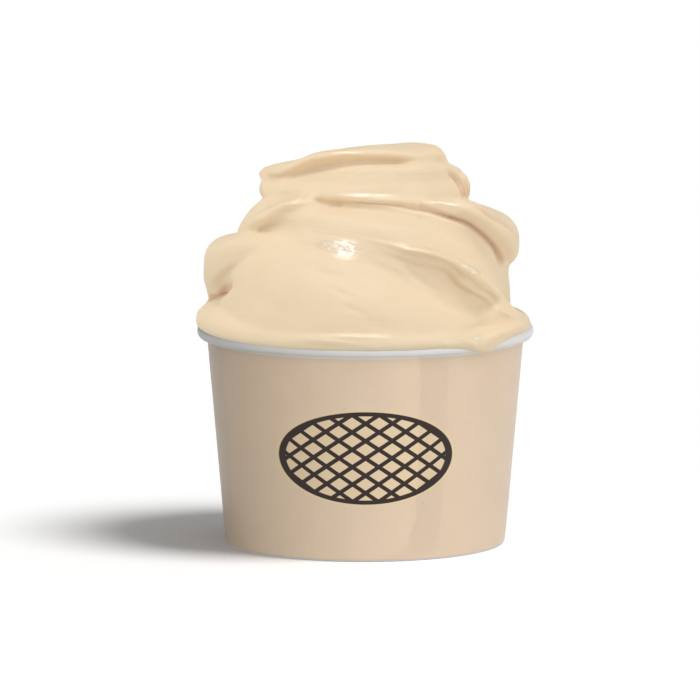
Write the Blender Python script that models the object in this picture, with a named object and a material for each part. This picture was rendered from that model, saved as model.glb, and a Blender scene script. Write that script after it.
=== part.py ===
"""A paper cup of gelato: a conical cup with a rolled rim, filled and heaped with soft folded gelato.

Sizes are written in millimetres and turned into metres by MM. +Z is up, the cup's axis is the Z axis and
the cup stands on z = 0. Angles go anticlockwise seen from above: 0 is the right side, 90 the back,
180 the left side and 270 the front.
"""

from math import atan2, cos, degrees, hypot, pi, radians, sin

import bmesh
import bpy
from mathutils import Vector

MM = 0.001

# The cup: a standard 240 ml dessert cup
CUP_HEIGHT = 59.0
RIM_RADIUS = 45.0
WALL_TOP_RADIUS = 42.5
FOOT_RADIUS = 37.5
BOARD = 0.45
GAP = 0.3

# The rolled rim, an upright oval seen in section
ROLL_HALF_WIDTH = 1.5
ROLL_HALF_HEIGHT = 1.9
ROLL_START_ANGLE = 180
ROLL_END_ANGLE = -128
ROLL_OUTER_STEPS = 10
ROLL_INNER_STEPS = 8

# The foot: the wall turns up inside and clasps the skirt of the floor disc
TURN_UP = 6.0
FLOOR_TOP = 6.75
SKIRT_BOTTOM = BOARD + GAP

CUP_SEGMENTS = 60

# Gelato resolution
LAYER_SEGMENTS = 72
LAYER_RINGS = 36
VOXEL = 1.0
SOFTEN_STEPS = 6
KEEP_SHARE = 0.15

# Each layer of gelato is a broad pillow round the cup's axis. Its keys give, by angle, how far the layer
# reaches out, the heights of its underside, its widest line and its top, and how square its section is
# below and above the widest line: 2 is round, more is squarer.
POOL = [
    # angle, reach, underside, widest, top, squareness below, squareness above
    (0, 44.2, 55.0, 59.6, 66.0, 3.0, 2.0),
    (45, 45.4, 55.0, 59.0, 67.0, 3.0, 2.0),
    (90, 45.9, 55.0, 58.6, 69.0, 3.0, 2.0),
    (135, 45.7, 55.0, 59.0, 71.0, 3.0, 2.3),
    (185, 45.3, 55.0, 60.0, 68.6, 3.0, 2.5),
    (225, 45.8, 55.0, 58.8, 71.0, 3.0, 2.5),
    (270, 46.0, 55.0, 58.4, 70.0, 3.0, 2.4),
    (315, 45.6, 55.0, 58.8, 65.0, 3.0, 2.2),
]
FRONT_WALL = [
    (0, 33.0, 54.0, 60.0, 72.0, 2.6, 3.0),
    (60, 34.0, 54.0, 60.0, 76.0, 2.6, 3.0),
    (120, 36.0, 54.0, 62.0, 80.0, 2.6, 3.0),
    (165, 38.6, 54.0, 62.0, 84.0, 2.6, 3.0),
    (190, 38.0, 54.0, 61.5, 86.0, 2.6, 3.0),
    (206, 42.2, 54.0, 61.0, 90.0, 2.6, 3.2),
    (228, 45.0, 54.0, 60.0, 92.5, 2.6, 3.0),
    (250, 45.4, 54.0, 59.5, 94.0, 2.6, 2.6),
    (270, 45.4, 54.0, 59.5, 93.0, 2.6, 2.4),
    (295, 44.6, 54.0, 59.5, 84.5, 2.6, 2.0),
    (325, 41.6, 54.0, 60.0, 73.0, 2.6, 2.0),
]
BULGE = [
    (0, 30.0, 58.0, 62.0, 72.0, 2.6, 3.0),
    (45, 38.0, 60.0, 66.0, 76.0, 2.6, 3.0),
    (90, 41.5, 63.0, 69.0, 80.0, 2.6, 3.2),
    (135, 43.0, 64.4, 71.0, 82.0, 2.8, 3.8),
    (165, 43.2, 64.8, 72.5, 83.4, 4.0, 4.8),
    (182, 43.2, 65.6, 72.5, 83.4, 4.6, 4.8),
    (198, 43.0, 67.6, 74.0, 85.2, 4.0, 4.8),
    (212, 42.4, 73.4, 78.0, 87.0, 3.0, 4.0),
    (230, 37.5, 79.0, 82.0, 87.5, 2.4, 3.0),
    (270, 31.0, 79.0, 81.5, 84.0, 2.4, 2.4),
    (320, 29.0, 66.0, 70.0, 78.0, 2.4, 2.4),
]
MIDDLE = [
    (0, 38.4, 56.0, 66.5, 92.0, 4.0, 3.0),
    (45, 38.5, 61.0, 70.0, 92.0, 3.0, 2.8),
    (90, 37.5, 69.0, 77.0, 93.0, 2.6, 2.6),
    (135, 36.0, 77.0, 81.0, 97.0, 2.4, 1.9),
    (180, 34.4, 80.5, 82.6, 101.0, 2.4, 1.7),
    (215, 34.8, 84.5, 87.0, 98.5, 2.4, 2.4),
    (240, 35.6, 86.0, 88.4, 97.0, 2.4, 2.8),
    (259, 36.8, 84.4, 86.6, 95.4, 2.6, 3.0),
    (278, 38.2, 81.0, 83.4, 95.0, 2.8, 3.0),
    (296, 39.6, 73.6, 77.0, 94.0, 3.2, 3.2),
    (314, 40.8, 66.6, 70.4, 92.0, 3.4, 3.4),
    (330, 40.9, 59.2, 64.5, 90.0, 3.6, 3.4),
    (345, 39.6, 57.0, 64.5, 90.0, 3.6, 3.2),
]
SHOULDER = [
    (0, 41.3, 71.8, 80.5, 91.8, 3.2, 3.0),
    (25, 41.6, 73.0, 82.0, 91.5, 3.0, 3.0),
    (60, 39.5, 77.0, 85.0, 94.0, 2.8, 2.8),
    (90, 36.0, 82.0, 89.0, 97.0, 2.6, 2.6),
    (135, 30.0, 89.0, 94.0, 99.0, 2.6, 2.6),
    (180, 26.0, 90.0, 94.0, 98.0, 2.6, 2.6),
    (225, 25.0, 92.0, 94.0, 98.0, 2.6, 2.6),
    (270, 28.0, 92.6, 94.6, 99.0, 2.6, 2.6),
    (290, 31.6, 92.2, 94.4, 99.5, 2.6, 2.6),
    (303, 35.6, 89.6, 92.2, 98.0, 2.6, 2.6),
    (315, 39.2, 85.4, 89.2, 96.6, 2.6, 2.6),
    (326, 41.0, 79.2, 85.0, 94.6, 2.8, 2.8),
    (337, 41.4, 73.8, 82.0, 93.0, 3.2, 3.0),
    (348, 41.3, 71.8, 80.5, 92.2, 3.2, 3.0),
]
TOP_BLOCK = [
    (0, 26.8, 89.5, 92.5, 105.0, 2.6, 2.2),
    (45, 26.0, 90.5, 94.0, 106.0, 2.6, 2.0),
    (90, 25.0, 92.0, 96.0, 106.0, 2.6, 2.0),
    (135, 26.0, 91.5, 95.5, 104.0, 2.6, 2.4),
    (180, 28.3, 90.6, 94.6, 101.5, 2.6, 3.2),
    (210, 28.8, 93.6, 96.0, 102.0, 2.6, 2.6),
    (236, 30.4, 94.0, 95.8, 103.4, 2.2, 2.2),
    (262, 31.8, 92.9, 94.7, 104.4, 2.2, 2.0),
    (287, 32.6, 91.4, 93.4, 105.0, 2.2, 2.0),
    (310, 31.4, 90.4, 93.4, 105.4, 2.4, 2.0),
    (335, 28.6, 90.0, 93.0, 105.0, 2.4, 2.1),
]
LAYERS = (POOL, FRONT_WALL, BULGE, MIDDLE, SHOULDER, TOP_BLOCK)

# Rolls are drawn out along a line of stations. Each station is x, y, z, half width, half height and the
# tilt of its section in degrees.
CREST = [
    (-28.6, -6.0, 99.6, 3.0, 1.8, 0),
    (-24.4, -7.0, 99.9, 7.2, 3.0, 4),
    (-17.0, -8.0, 100.9, 10.6, 3.4, 8),
    (-9.0, -9.0, 102.9, 12.2, 3.3, 7),
    (0.0, -9.2, 104.2, 12.8, 3.3, 6),
    (8.0, -8.5, 104.8, 12.8, 3.3, 5),
    (13.4, -6.5, 104.8, 12.4, 3.8, 5),
    (17.0, -4.0, 103.8, 9.4, 3.6, 3),
    (19.0, -3.0, 102.4, 6.4, 2.8, 0),
]
LOBE = [
    (18.0, 3.0, 101.8, 2.6, 1.6, 0),
    (23.5, 2.0, 99.9, 2.6, 1.8, 0),
    (25.6, 3.0, 96.6, 2.6, 2.2, 0),
    (25.8, 6.0, 92.8, 2.6, 2.2, 0),
    (24.0, 10.0, 89.0, 2.6, 2.0, 0),
]
SPUR = [
    (-13.0, -27.8, 95.6, 2.0, 1.4, 0),
    (-20.0, -25.4, 92.6, 3.8, 2.4, 0),
    (-25.6, -21.6, 89.0, 4.2, 2.8, 0),
    (-29.6, -14.0, 86.2, 3.8, 2.8, 0),
    (-30.0, -4.0, 85.0, 2.6, 2.2, 0),
]
RIDGE = [
    (4.0, -37.6, 84.4, 0.5, 0.4, 0),
    (12.6, -37.2, 83.0, 1.6, 1.2, 0),
    (20.0, -34.8, 80.6, 1.8, 1.4, 0),
    (25.8, -31.4, 77.2, 2.0, 1.6, 0),
    (31.2, -27.0, 73.0, 2.0, 1.6, 0),
    (35.8, -20.8, 67.8, 2.0, 1.6, 0),
    (39.4, -11.4, 62.0, 2.0, 1.6, 0),
]
LIP = [
    (43.0, -8.0, 60.0, 2.2, 1.6, 0),
    (40.6, -17.0, 60.2, 2.8, 2.0, 0),
    (36.6, -24.5, 60.2, 3.4, 2.3, 0),
    (32.2, -30.2, 59.4, 4.0, 2.4, 0),
    (30.6, -33.0, 57.6, 4.0, 2.0, 0),
]
ROLLS = (CREST, LOBE, SPUR, RIDGE, LIP)
ROLL_SEGMENTS = 24
ROLL_RINGS = 40
ROLL_BLUNTNESS = 0.55

# The drop that hangs over the rim: centre x, y, z and half sizes along the rim, outwards and upwards
DRIP = ((30.6, -33.2, 57.4), (4.8, 2.3, 3.0))

PLUG_BOTTOM = 2.0
PLUG_TOP = 57.0
CLEAR_RADIUS = 60.0
CLEAR_TOP = 130.0
SKIRT_LIMIT = 53.5


def clear_scene():
    for obj in list(bpy.data.objects):
        bpy.data.objects.remove(obj, do_unlink=True)


def material(name, colour, roughness, metallic=0.0):
    made = bpy.data.materials.new(name)
    made.use_nodes = True
    shader = made.node_tree.nodes["Principled BSDF"]
    shader.inputs["Base Color"].default_value = (*colour, 1.0)
    shader.inputs["Roughness"].default_value = roughness
    shader.inputs["Metallic"].default_value = metallic
    made.diffuse_color = (*colour, 1.0)
    return made


def add_object(name, bm, finish, smooth_angle=40):
    mesh = bpy.data.meshes.new(name)
    bm.to_mesh(mesh)
    bm.free()
    mesh.materials.append(finish)
    mesh.shade_smooth()
    mesh.set_sharp_from_angle(angle=radians(smooth_angle))
    obj = bpy.data.objects.new(name, mesh)
    bpy.context.scene.collection.objects.link(obj)
    return obj


def wall_radius(z):
    """Outer radius of the cup's wall at a height."""
    roll_z = CUP_HEIGHT - ROLL_HALF_HEIGHT
    return FOOT_RADIUS + (WALL_TOP_RADIUS - FOOT_RADIUS) * z / roll_z


def oval(angle, half_width, half_height):
    """A point of the rim's oval section."""
    turn = radians(angle)
    centre_z = CUP_HEIGHT - ROLL_HALF_HEIGHT
    centre_r = RIM_RADIUS - ROLL_HALF_WIDTH
    return centre_r + half_width * cos(turn), centre_z + half_height * sin(turn)


def oval_arc(start, end, steps, half_width, half_height):
    angles = [start + (end - start) * k / steps for k in range(steps + 1)]
    return [oval(angle, half_width, half_height) for angle in angles]


def turned(profile, segments=CUP_SEGMENTS):
    """A closed solid made by spinning an outline of (radius, height) about the Z axis. An outline that
    starts and ends on the axis is left open there, and any other is closed."""
    bm = bmesh.new()
    points = [bm.verts.new((r * MM, 0.0, z * MM)) for r, z in profile]
    first = 1 if profile[0][0] == 0 else 0
    edges = [bm.edges.new((points[k - 1], points[k])) for k in range(first, len(points))]
    bmesh.ops.spin(
        bm,
        geom=points + edges,
        cent=(0, 0, 0),
        axis=(0, 0, 1),
        angle=2 * pi,
        steps=segments,
        use_merge=True,
        use_duplicate=False,
    )
    bmesh.ops.remove_doubles(bm, verts=bm.verts, dist=1e-6)
    bmesh.ops.recalc_face_normals(bm, faces=bm.faces)
    return bm


def cup_wall_profile():
    """The wall with its rolled rim at the top and its turned-up foot, as one outline."""
    outer_roll = oval_arc(
        ROLL_START_ANGLE, ROLL_END_ANGLE, ROLL_OUTER_STEPS, ROLL_HALF_WIDTH, ROLL_HALF_HEIGHT
    )
    inner_roll = oval_arc(
        ROLL_END_ANGLE,
        ROLL_START_ANGLE - 30,
        ROLL_INNER_STEPS,
        ROLL_HALF_WIDTH - BOARD,
        ROLL_HALF_HEIGHT - BOARD,
    )
    channel = BOARD + 2 * GAP
    foot_inner = FOOT_RADIUS - 2 * BOARD - channel
    turn_top = wall_radius(TURN_UP) - BOARD - channel
    outside = [
        (FOOT_RADIUS - 0.25, 0.0),
        (FOOT_RADIUS, 0.25),
        (wall_radius(54.6), 54.6),
    ]
    inside = [
        (wall_radius(TURN_UP) - BOARD, TURN_UP),
        (wall_radius(BOARD) - BOARD, BOARD),
        (foot_inner + BOARD, BOARD),
        (turn_top, TURN_UP),
        (turn_top - BOARD, TURN_UP),
        (foot_inner, 0.0),
    ]
    return outside + inner_roll[::-1] + outer_roll[::-1] + inside


def floor_profile():
    """The floor disc with its turned-down skirt."""
    skirt_outer = wall_radius(TURN_UP) - BOARD - GAP
    low_outer = wall_radius(SKIRT_BOTTOM) - BOARD - GAP
    return [
        (0.0, FLOOR_TOP - BOARD),
        (skirt_outer - BOARD, FLOOR_TOP - BOARD),
        (low_outer - BOARD, SKIRT_BOTTOM),
        (low_outer, SKIRT_BOTTOM),
        (skirt_outer, FLOOR_TOP - 0.3),
        (skirt_outer - 0.3, FLOOR_TOP),
        (0.0, FLOOR_TOP),
    ]


def gelato_room_profile():
    """All the space that gelato may fill: the cup's inside, over the rim and above."""
    roll = oval_arc(180, -60, 10, ROLL_HALF_WIDTH + GAP, ROLL_HALF_HEIGHT + GAP)
    floor = FLOOR_TOP + GAP
    return [
        (0.0, floor),
        (wall_radius(floor) - BOARD - GAP, floor),
        *roll,
        (wall_radius(SKIRT_LIMIT) + GAP, SKIRT_LIMIT),
        (CLEAR_RADIUS, SKIRT_LIMIT),
        (CLEAR_RADIUS, CLEAR_TOP),
        (0.0, CLEAR_TOP),
    ]


def plug_profile():
    """The gelato inside the cup, a little too wide, to be trimmed to the room."""
    return [
        (0.0, PLUG_BOTTOM),
        (wall_radius(PLUG_BOTTOM) - BOARD / 2, PLUG_BOTTOM),
        (wall_radius(PLUG_TOP) - BOARD / 2, PLUG_TOP),
        (0.0, PLUG_TOP),
    ]


def catmull_rom(before, start, end, after, share):
    """A smooth value between start and end, from values at evenly counted keys."""
    return 0.5 * (
        2 * start
        + (end - before) * share
        + (2 * before - 5 * start + 4 * end - after) * share**2
        + (3 * start - before - 3 * end + after) * share**3
    )


def around(keys, angle):
    """The values of keys, a list of (angle, value, ...), at any angle, smooth all the way round."""
    angle %= 360
    count = len(keys)
    low = max((k for k in range(count) if keys[k][0] <= angle), default=count - 1)
    start, end = keys[low], keys[(low + 1) % count]
    before, after = keys[low - 1], keys[(low + 2) % count]
    span = (end[0] - start[0]) % 360
    share = ((angle - start[0]) % 360) / span
    values = zip(before[1:], start[1:], end[1:], after[1:])
    return [catmull_rom(*four, share) for four in values]


def along(stations, share):
    """The values of a list of stations at a share of its length, 0 to 1."""
    place = share * (len(stations) - 1)
    low = min(int(place), len(stations) - 2)
    picked = [stations[min(max(low + k, 0), len(stations) - 1)] for k in (-1, 0, 1, 2)]
    return [catmull_rom(*four, place - low) for four in zip(*picked)]


def shape_layer(verts, keys):
    """Draws a unit ball out into a layer."""
    mean = [sum(key[k] for key in keys) / len(keys) for k in range(5)]
    for vert in verts:
        angle = degrees(atan2(vert.co.y, vert.co.x))
        reach, under, widest, top, square_below, square_above = around(keys, angle)
        out, up = hypot(vert.co.x, vert.co.y), vert.co.z
        square = square_above if up > 0 else square_below
        out_share = min(out, 1.0) ** (2 / square)
        up_share = abs(up) ** (2 / square)
        blend = min(1.0, out_share * 1.3)
        blend = blend * blend * (3 - 2 * blend)
        middle = mean[3] + (widest - mean[3]) * blend
        if up > 0:
            end = mean[4] + (top - mean[4]) * blend
        else:
            end = mean[2] + (under - mean[2]) * blend
        turn = radians(angle)
        radius = reach * out_share
        height = middle + (end - middle) * up_share
        vert.co = Vector((radius * cos(turn), radius * sin(turn), height)) * MM


def shape_roll(verts, stations):
    """Draws a unit ball out along a line of stations."""
    for vert in verts:
        lie = 0.5 + 0.5 * vert.co.z
        x, y, z, half_width, half_height, tilt = along(stations, lie)
        ahead = along(stations, min(lie + 0.02, 1.0))
        behind = along(stations, max(lie - 0.02, 0.0))
        forward = Vector(ahead[:3]) - Vector(behind[:3])
        side = forward.cross(Vector((0, 0, 1))).normalized()
        lift = side.cross(forward).normalized()
        turn = atan2(vert.co.y, vert.co.x)
        across, high = half_width * cos(turn), half_height * sin(turn)
        lean = radians(tilt)
        offset = side * (across * cos(lean) - high * sin(lean))
        offset += lift * (across * sin(lean) + high * cos(lean))
        round_off = hypot(vert.co.x, vert.co.y) ** ROLL_BLUNTNESS
        vert.co = (Vector((x, y, z)) + offset * round_off) * MM


def shape_drop(verts, drop):
    """Draws a unit ball out into a drop that faces away from the cup's axis."""
    centre, (half_along, half_out, half_up) = drop
    facing = atan2(centre[1], centre[0])
    outwards = Vector((cos(facing), sin(facing), 0))
    sideways = Vector((-sin(facing), cos(facing), 0))
    for vert in verts:
        offset = sideways * (half_along * vert.co.x) + outwards * (half_out * vert.co.y)
        offset.z = half_up * vert.co.z
        vert.co = (Vector(centre) + offset) * MM


def add_ball(bm, segments, rings, shape, values):
    made = bmesh.ops.create_uvsphere(bm, u_segments=segments, v_segments=rings, radius=1.0)
    shape(made["verts"], values)


def build_cup_wall(paper):
    return add_object("cup_wall", turned(cup_wall_profile()), paper)


def build_cup_floor(paper):
    bm = turned(floor_profile())
    return add_object("cup_floor", bm, paper)


def helper(name, bm):
    """A solid that only shapes another: the build leaves it out."""
    mesh = bpy.data.meshes.new(name)
    bm.to_mesh(mesh)
    bm.free()
    obj = bpy.data.objects.new(name, mesh)
    obj.display_type = "WIRE"
    obj.hide_render = True
    bpy.context.scene.collection.objects.link(obj)
    return obj


def build_gelato(cream):
    bm = bmesh.new()
    for layer in LAYERS:
        add_ball(bm, LAYER_SEGMENTS, LAYER_RINGS, shape_layer, layer)
    for stations in ROLLS:
        add_ball(bm, ROLL_SEGMENTS, ROLL_RINGS, shape_roll, stations)
    add_ball(bm, ROLL_SEGMENTS, ROLL_SEGMENTS // 2, shape_drop, DRIP)
    bmesh.ops.recalc_face_normals(bm, faces=bm.faces)
    gelato = add_object("gelato", bm, cream)

    remesh = gelato.modifiers.new("fuse_folds", "REMESH")
    remesh.mode = "VOXEL"
    remesh.voxel_size = VOXEL * MM
    remesh.use_smooth_shade = True
    soften = gelato.modifiers.new("soften", "SMOOTH")
    soften.iterations = SOFTEN_STEPS
    thin = gelato.modifiers.new("fewer_faces", "DECIMATE")
    thin.ratio = KEEP_SHARE
    fill = gelato.modifiers.new("fill_cup", "BOOLEAN")
    fill.operation = "UNION"
    fill.object = helper("gelato_plug", turned(plug_profile()))
    trim = gelato.modifiers.new("clear_of_cup", "BOOLEAN")
    trim.operation = "INTERSECT"
    trim.object = helper("gelato_room", turned(gelato_room_profile()))
    return gelato


def main():
    clear_scene()
    printed_paper = material("printed_paper", (0.66, 0.54, 0.43), 0.55)
    white_paper = material("white_paper", (0.85, 0.84, 0.80), 0.5)
    cream = material("gelato", (0.87, 0.71, 0.50), 0.35)
    build_cup_wall(printed_paper)
    build_cup_floor(white_paper)
    build_gelato(cream)


if __name__ == "__main__":
    main()
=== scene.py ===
"""Gelato cup: a conical paper cup heaped with soft gelato, dressed for a studio picture.

Sizes in this file are millimetres unless a name says otherwise, and MM turns them into metres. +Z is up, the
cup's axis is the Z axis, and angles go anticlockwise seen from above: 0 is the right side, 90 the back,
180 the left side and 270 the front.
"""

from math import atan2, cos, degrees, hypot, pi, radians, sin

import bmesh
import bpy
import numpy
from bpy.props import FloatProperty, FloatVectorProperty, IntProperty, PointerProperty
from mathutils import Matrix, Vector, noise


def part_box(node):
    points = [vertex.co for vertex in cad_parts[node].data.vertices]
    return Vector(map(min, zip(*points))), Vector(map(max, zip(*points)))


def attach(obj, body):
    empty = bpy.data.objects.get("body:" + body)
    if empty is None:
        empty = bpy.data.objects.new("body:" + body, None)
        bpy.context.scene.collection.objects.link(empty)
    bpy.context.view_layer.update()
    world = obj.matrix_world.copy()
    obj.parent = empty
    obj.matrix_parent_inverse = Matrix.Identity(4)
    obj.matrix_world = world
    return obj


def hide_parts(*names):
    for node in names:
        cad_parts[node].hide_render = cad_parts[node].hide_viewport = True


bl_info = {
    "name": "Gelato Cup",
    "version": (1, 0, 0),
    "blender": (4, 5, 0),
    "location": "View3D > Sidebar > Gelato Cup",
    "description": "Builds a paper cup heaped with gelato, and a small studio round it",
    "category": "Add Mesh",
}

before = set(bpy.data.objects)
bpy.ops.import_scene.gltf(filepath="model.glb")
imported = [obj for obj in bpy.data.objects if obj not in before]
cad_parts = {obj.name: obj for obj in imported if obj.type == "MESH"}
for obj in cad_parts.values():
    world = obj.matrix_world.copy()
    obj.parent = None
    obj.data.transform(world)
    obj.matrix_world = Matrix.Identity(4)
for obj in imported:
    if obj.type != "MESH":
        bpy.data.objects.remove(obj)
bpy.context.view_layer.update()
RIM_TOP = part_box("cup_wall")[1].z * 1000
RIM_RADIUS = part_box("cup_wall")[1].x * 1000

MM = 0.001

# The middle of the camera's view, across from the cup's axis and up, its distance from the lens and how
# many degrees the camera looks down
VIEW_MIDDLE = (-4.1, 51.6)
VIEW_DISTANCE = 2000.0
VIEW_TILT = 7.4

# The rolled rim, an upright oval seen in section
ROLL_HALF_WIDTH = 1.5
ROLL_HALF_HEIGHT = 1.9
ROLL_START_ANGLE = 180
ROLL_END_ANGLE = -128

# The wall outside: the radius of the bend at its foot, the heights that its outline passes, and how far
# under the rim's roll the print ends
FOOT_BEND = 0.9
BEND_ANGLES = (0, 15, 30, 45, 60, 75, 90)
WALL_HEIGHTS = (3, 12, 24, 36, 48, 54.6)
PRINT_EDGE = 0.25

# The foot inside: the wall turns up there and clasps the skirt of the floor disc
TURN_UP = 6.0
FOOT_CHAMFER = 0.3
FLOOR_TOP = 6.75
FLOOR_BEND = 0.5
FLOOR_CHAMFER = 0.25

CLEARANCE = 0.3  # gap between board and board
CONTACT = 0.04  # gap between gelato and board

# The lap of the side seam: how far it stands out and sinks in, its bevel, and its place in degrees
SEAM_HEIGHT = 0.22
SEAM_SINK = 0.1
SEAM_BEVEL = 0.3
SEAM_START = 85
SEAM_WIDTH = 10
SEAM_STEPS = 16

# The printed oval: the height of its middle, its half sizes, the wall's radius there and the length of its
# lattice's wave
MOTIF_MIDDLE = 28.0
MOTIF_HALF_LENGTH = 24.5
MOTIF_HALF_HEIGHT = 12.5
MOTIF_RADIUS = 40.0
LATTICE_WAVE = 14.0

# The balls that the heap's layers and rolls are drawn out from, and how blunt the ends of a roll are: 1 is
# round and less is blunter
LAYER_SEGMENTS = 144
LAYER_RINGS = 72
ROLL_SEGMENTS = 24
ROLL_RINGS = 40
ROLL_BLUNTNESS = 0.55

# Rounds of smoothing after the folds are fused, and where a crease is worn soft
FUSE_ROUNDS = 8
SOFT_ROUNDS = 90

# Each layer of gelato is a broad pillow round the cup's axis. Its keys give, by angle, how far the layer
# reaches out, the heights of its underside, its widest line and its top, and how square its section is
# below and above the widest line: 2 is round, more is squarer.
POOL = [
    # angle, reach, underside, widest, top, squareness below, squareness above
    (0, 44.2, 55.0, 59.6, 66.0, 3.0, 2.0),
    (45, 45.4, 55.0, 59.0, 67.0, 3.0, 2.0),
    (90, 45.9, 55.0, 58.6, 69.0, 3.0, 2.0),
    (135, 45.7, 55.0, 59.0, 71.0, 3.0, 2.3),
    (185, 45.3, 55.0, 60.0, 68.6, 3.0, 2.5),
    (225, 45.8, 55.0, 58.8, 71.0, 3.0, 2.5),
    (270, 46.0, 55.0, 58.4, 70.0, 3.0, 2.4),
    (315, 45.6, 55.0, 58.8, 65.0, 3.0, 2.2),
]
FRONT_WALL = [
    (0, 33.0, 54.0, 60.0, 72.0, 2.6, 3.0),
    (60, 34.0, 54.0, 60.0, 76.0, 2.6, 3.0),
    (120, 36.0, 54.0, 62.0, 80.0, 2.6, 3.0),
    (165, 38.6, 54.0, 62.0, 84.0, 2.6, 3.0),
    (190, 38.0, 54.0, 61.5, 86.0, 2.6, 3.0),
    (206, 42.2, 54.0, 61.0, 90.0, 2.6, 3.2),
    (228, 45.0, 54.0, 60.0, 92.5, 2.6, 3.0),
    (250, 45.4, 54.0, 59.5, 94.0, 2.6, 2.6),
    (270, 45.4, 54.0, 59.5, 93.0, 2.6, 2.4),
    (295, 44.6, 54.0, 59.5, 84.5, 2.6, 2.0),
    (325, 41.6, 54.0, 60.0, 73.0, 2.6, 2.0),
]
BULGE = [
    (0, 30.0, 58.0, 62.0, 72.0, 2.6, 3.0),
    (45, 38.0, 60.0, 66.0, 76.0, 2.6, 3.0),
    (90, 41.5, 63.0, 69.0, 80.0, 2.6, 3.2),
    (135, 43.0, 64.4, 71.0, 82.0, 2.8, 3.8),
    (165, 43.2, 64.8, 72.5, 83.4, 4.0, 4.8),
    (182, 43.2, 65.6, 72.5, 83.4, 4.6, 4.8),
    (198, 43.0, 67.6, 74.0, 85.2, 4.0, 4.8),
    (212, 42.4, 73.4, 78.0, 87.0, 3.0, 4.0),
    (230, 37.5, 79.0, 82.0, 87.5, 2.4, 3.0),
    (270, 31.0, 79.0, 81.5, 84.0, 2.4, 2.4),
    (320, 29.0, 66.0, 70.0, 78.0, 2.4, 2.4),
]
MIDDLE = [
    (0, 38.4, 56.0, 66.5, 92.0, 4.0, 3.0),
    (45, 38.5, 61.0, 70.0, 92.0, 3.0, 2.8),
    (90, 37.5, 69.0, 77.0, 93.0, 2.6, 2.6),
    (135, 36.0, 77.0, 81.0, 97.0, 2.4, 1.9),
    (180, 34.4, 80.5, 82.6, 101.0, 2.4, 1.7),
    (215, 34.8, 84.5, 87.0, 98.5, 2.4, 2.4),
    (240, 35.6, 86.0, 88.4, 97.0, 2.4, 2.8),
    (259, 36.8, 84.4, 86.6, 95.4, 2.6, 3.0),
    (278, 38.2, 81.0, 83.4, 95.0, 2.8, 3.0),
    (296, 39.6, 73.6, 77.0, 94.0, 3.2, 3.2),
    (314, 40.8, 66.6, 70.4, 92.0, 3.4, 3.4),
    (330, 40.9, 59.2, 64.5, 90.0, 3.6, 3.4),
    (345, 39.6, 57.0, 64.5, 90.0, 3.6, 3.2),
]
SHOULDER = [
    (0, 41.3, 71.8, 80.5, 91.8, 3.2, 3.0),
    (25, 41.6, 73.0, 82.0, 91.5, 3.0, 3.0),
    (60, 39.5, 77.0, 85.0, 94.0, 2.8, 2.8),
    (90, 36.0, 82.0, 89.0, 97.0, 2.6, 2.6),
    (135, 30.0, 89.0, 94.0, 99.0, 2.6, 2.6),
    (180, 26.0, 90.0, 94.0, 98.0, 2.6, 2.6),
    (225, 25.0, 92.0, 94.0, 98.0, 2.6, 2.6),
    (270, 28.0, 92.6, 94.6, 99.0, 2.6, 2.6),
    (290, 31.6, 92.2, 94.4, 99.5, 2.6, 2.6),
    (303, 35.6, 89.6, 92.2, 98.0, 2.6, 2.6),
    (315, 39.2, 85.4, 89.2, 96.6, 2.6, 2.6),
    (326, 41.0, 79.2, 85.0, 94.6, 2.8, 2.8),
    (337, 41.4, 73.8, 82.0, 93.0, 3.2, 3.0),
    (348, 41.3, 71.8, 80.5, 92.2, 3.2, 3.0),
]
TOP_BLOCK = [
    (0, 26.8, 89.5, 92.5, 105.0, 2.6, 2.2),
    (45, 26.0, 90.5, 94.0, 106.0, 2.6, 2.0),
    (90, 25.0, 92.0, 96.0, 106.0, 2.6, 2.0),
    (135, 26.0, 91.5, 95.5, 104.0, 2.6, 2.4),
    (180, 28.3, 90.6, 94.6, 101.5, 2.6, 3.2),
    (210, 28.8, 93.6, 96.0, 102.0, 2.6, 2.6),
    (236, 30.4, 94.0, 95.8, 103.4, 2.2, 2.2),
    (262, 31.8, 92.9, 94.7, 104.4, 2.2, 2.0),
    (287, 32.6, 91.4, 93.4, 105.0, 2.2, 2.0),
    (310, 31.4, 90.4, 93.4, 105.4, 2.4, 2.0),
    (335, 28.6, 90.0, 93.0, 105.0, 2.4, 2.1),
]
LAYERS = (POOL, FRONT_WALL, BULGE, MIDDLE, SHOULDER, TOP_BLOCK)

# Rolls are drawn out along a line of stations. Each station is x, y, z, half width, half height and the
# tilt of its section in degrees.
CREST = [
    (-28.6, -6.0, 99.6, 3.0, 1.8, 0),
    (-24.4, -7.0, 99.9, 7.2, 3.0, 4),
    (-17.0, -8.0, 100.9, 10.6, 3.4, 8),
    (-9.0, -9.0, 102.9, 12.2, 3.3, 7),
    (0.0, -9.2, 104.2, 12.8, 3.3, 6),
    (8.0, -8.5, 104.8, 12.8, 3.3, 5),
    (13.4, -6.5, 104.8, 12.4, 3.8, 5),
    (17.0, -4.0, 103.8, 9.4, 3.6, 3),
    (19.0, -3.0, 102.4, 6.4, 2.8, 0),
]
LOBE = [
    (18.0, 3.0, 101.8, 2.6, 1.6, 0),
    (23.5, 2.0, 99.9, 2.6, 1.8, 0),
    (25.6, 3.0, 96.6, 2.6, 2.2, 0),
    (25.8, 6.0, 92.8, 2.6, 2.2, 0),
    (24.0, 10.0, 89.0, 2.6, 2.0, 0),
]
SPUR = [
    (-13.0, -27.8, 95.6, 2.0, 1.4, 0),
    (-20.0, -25.4, 92.6, 3.8, 2.4, 0),
    (-25.6, -21.6, 89.0, 4.2, 2.8, 0),
    (-29.6, -14.0, 86.2, 3.8, 2.8, 0),
    (-30.0, -4.0, 85.0, 2.6, 2.2, 0),
]
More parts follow.
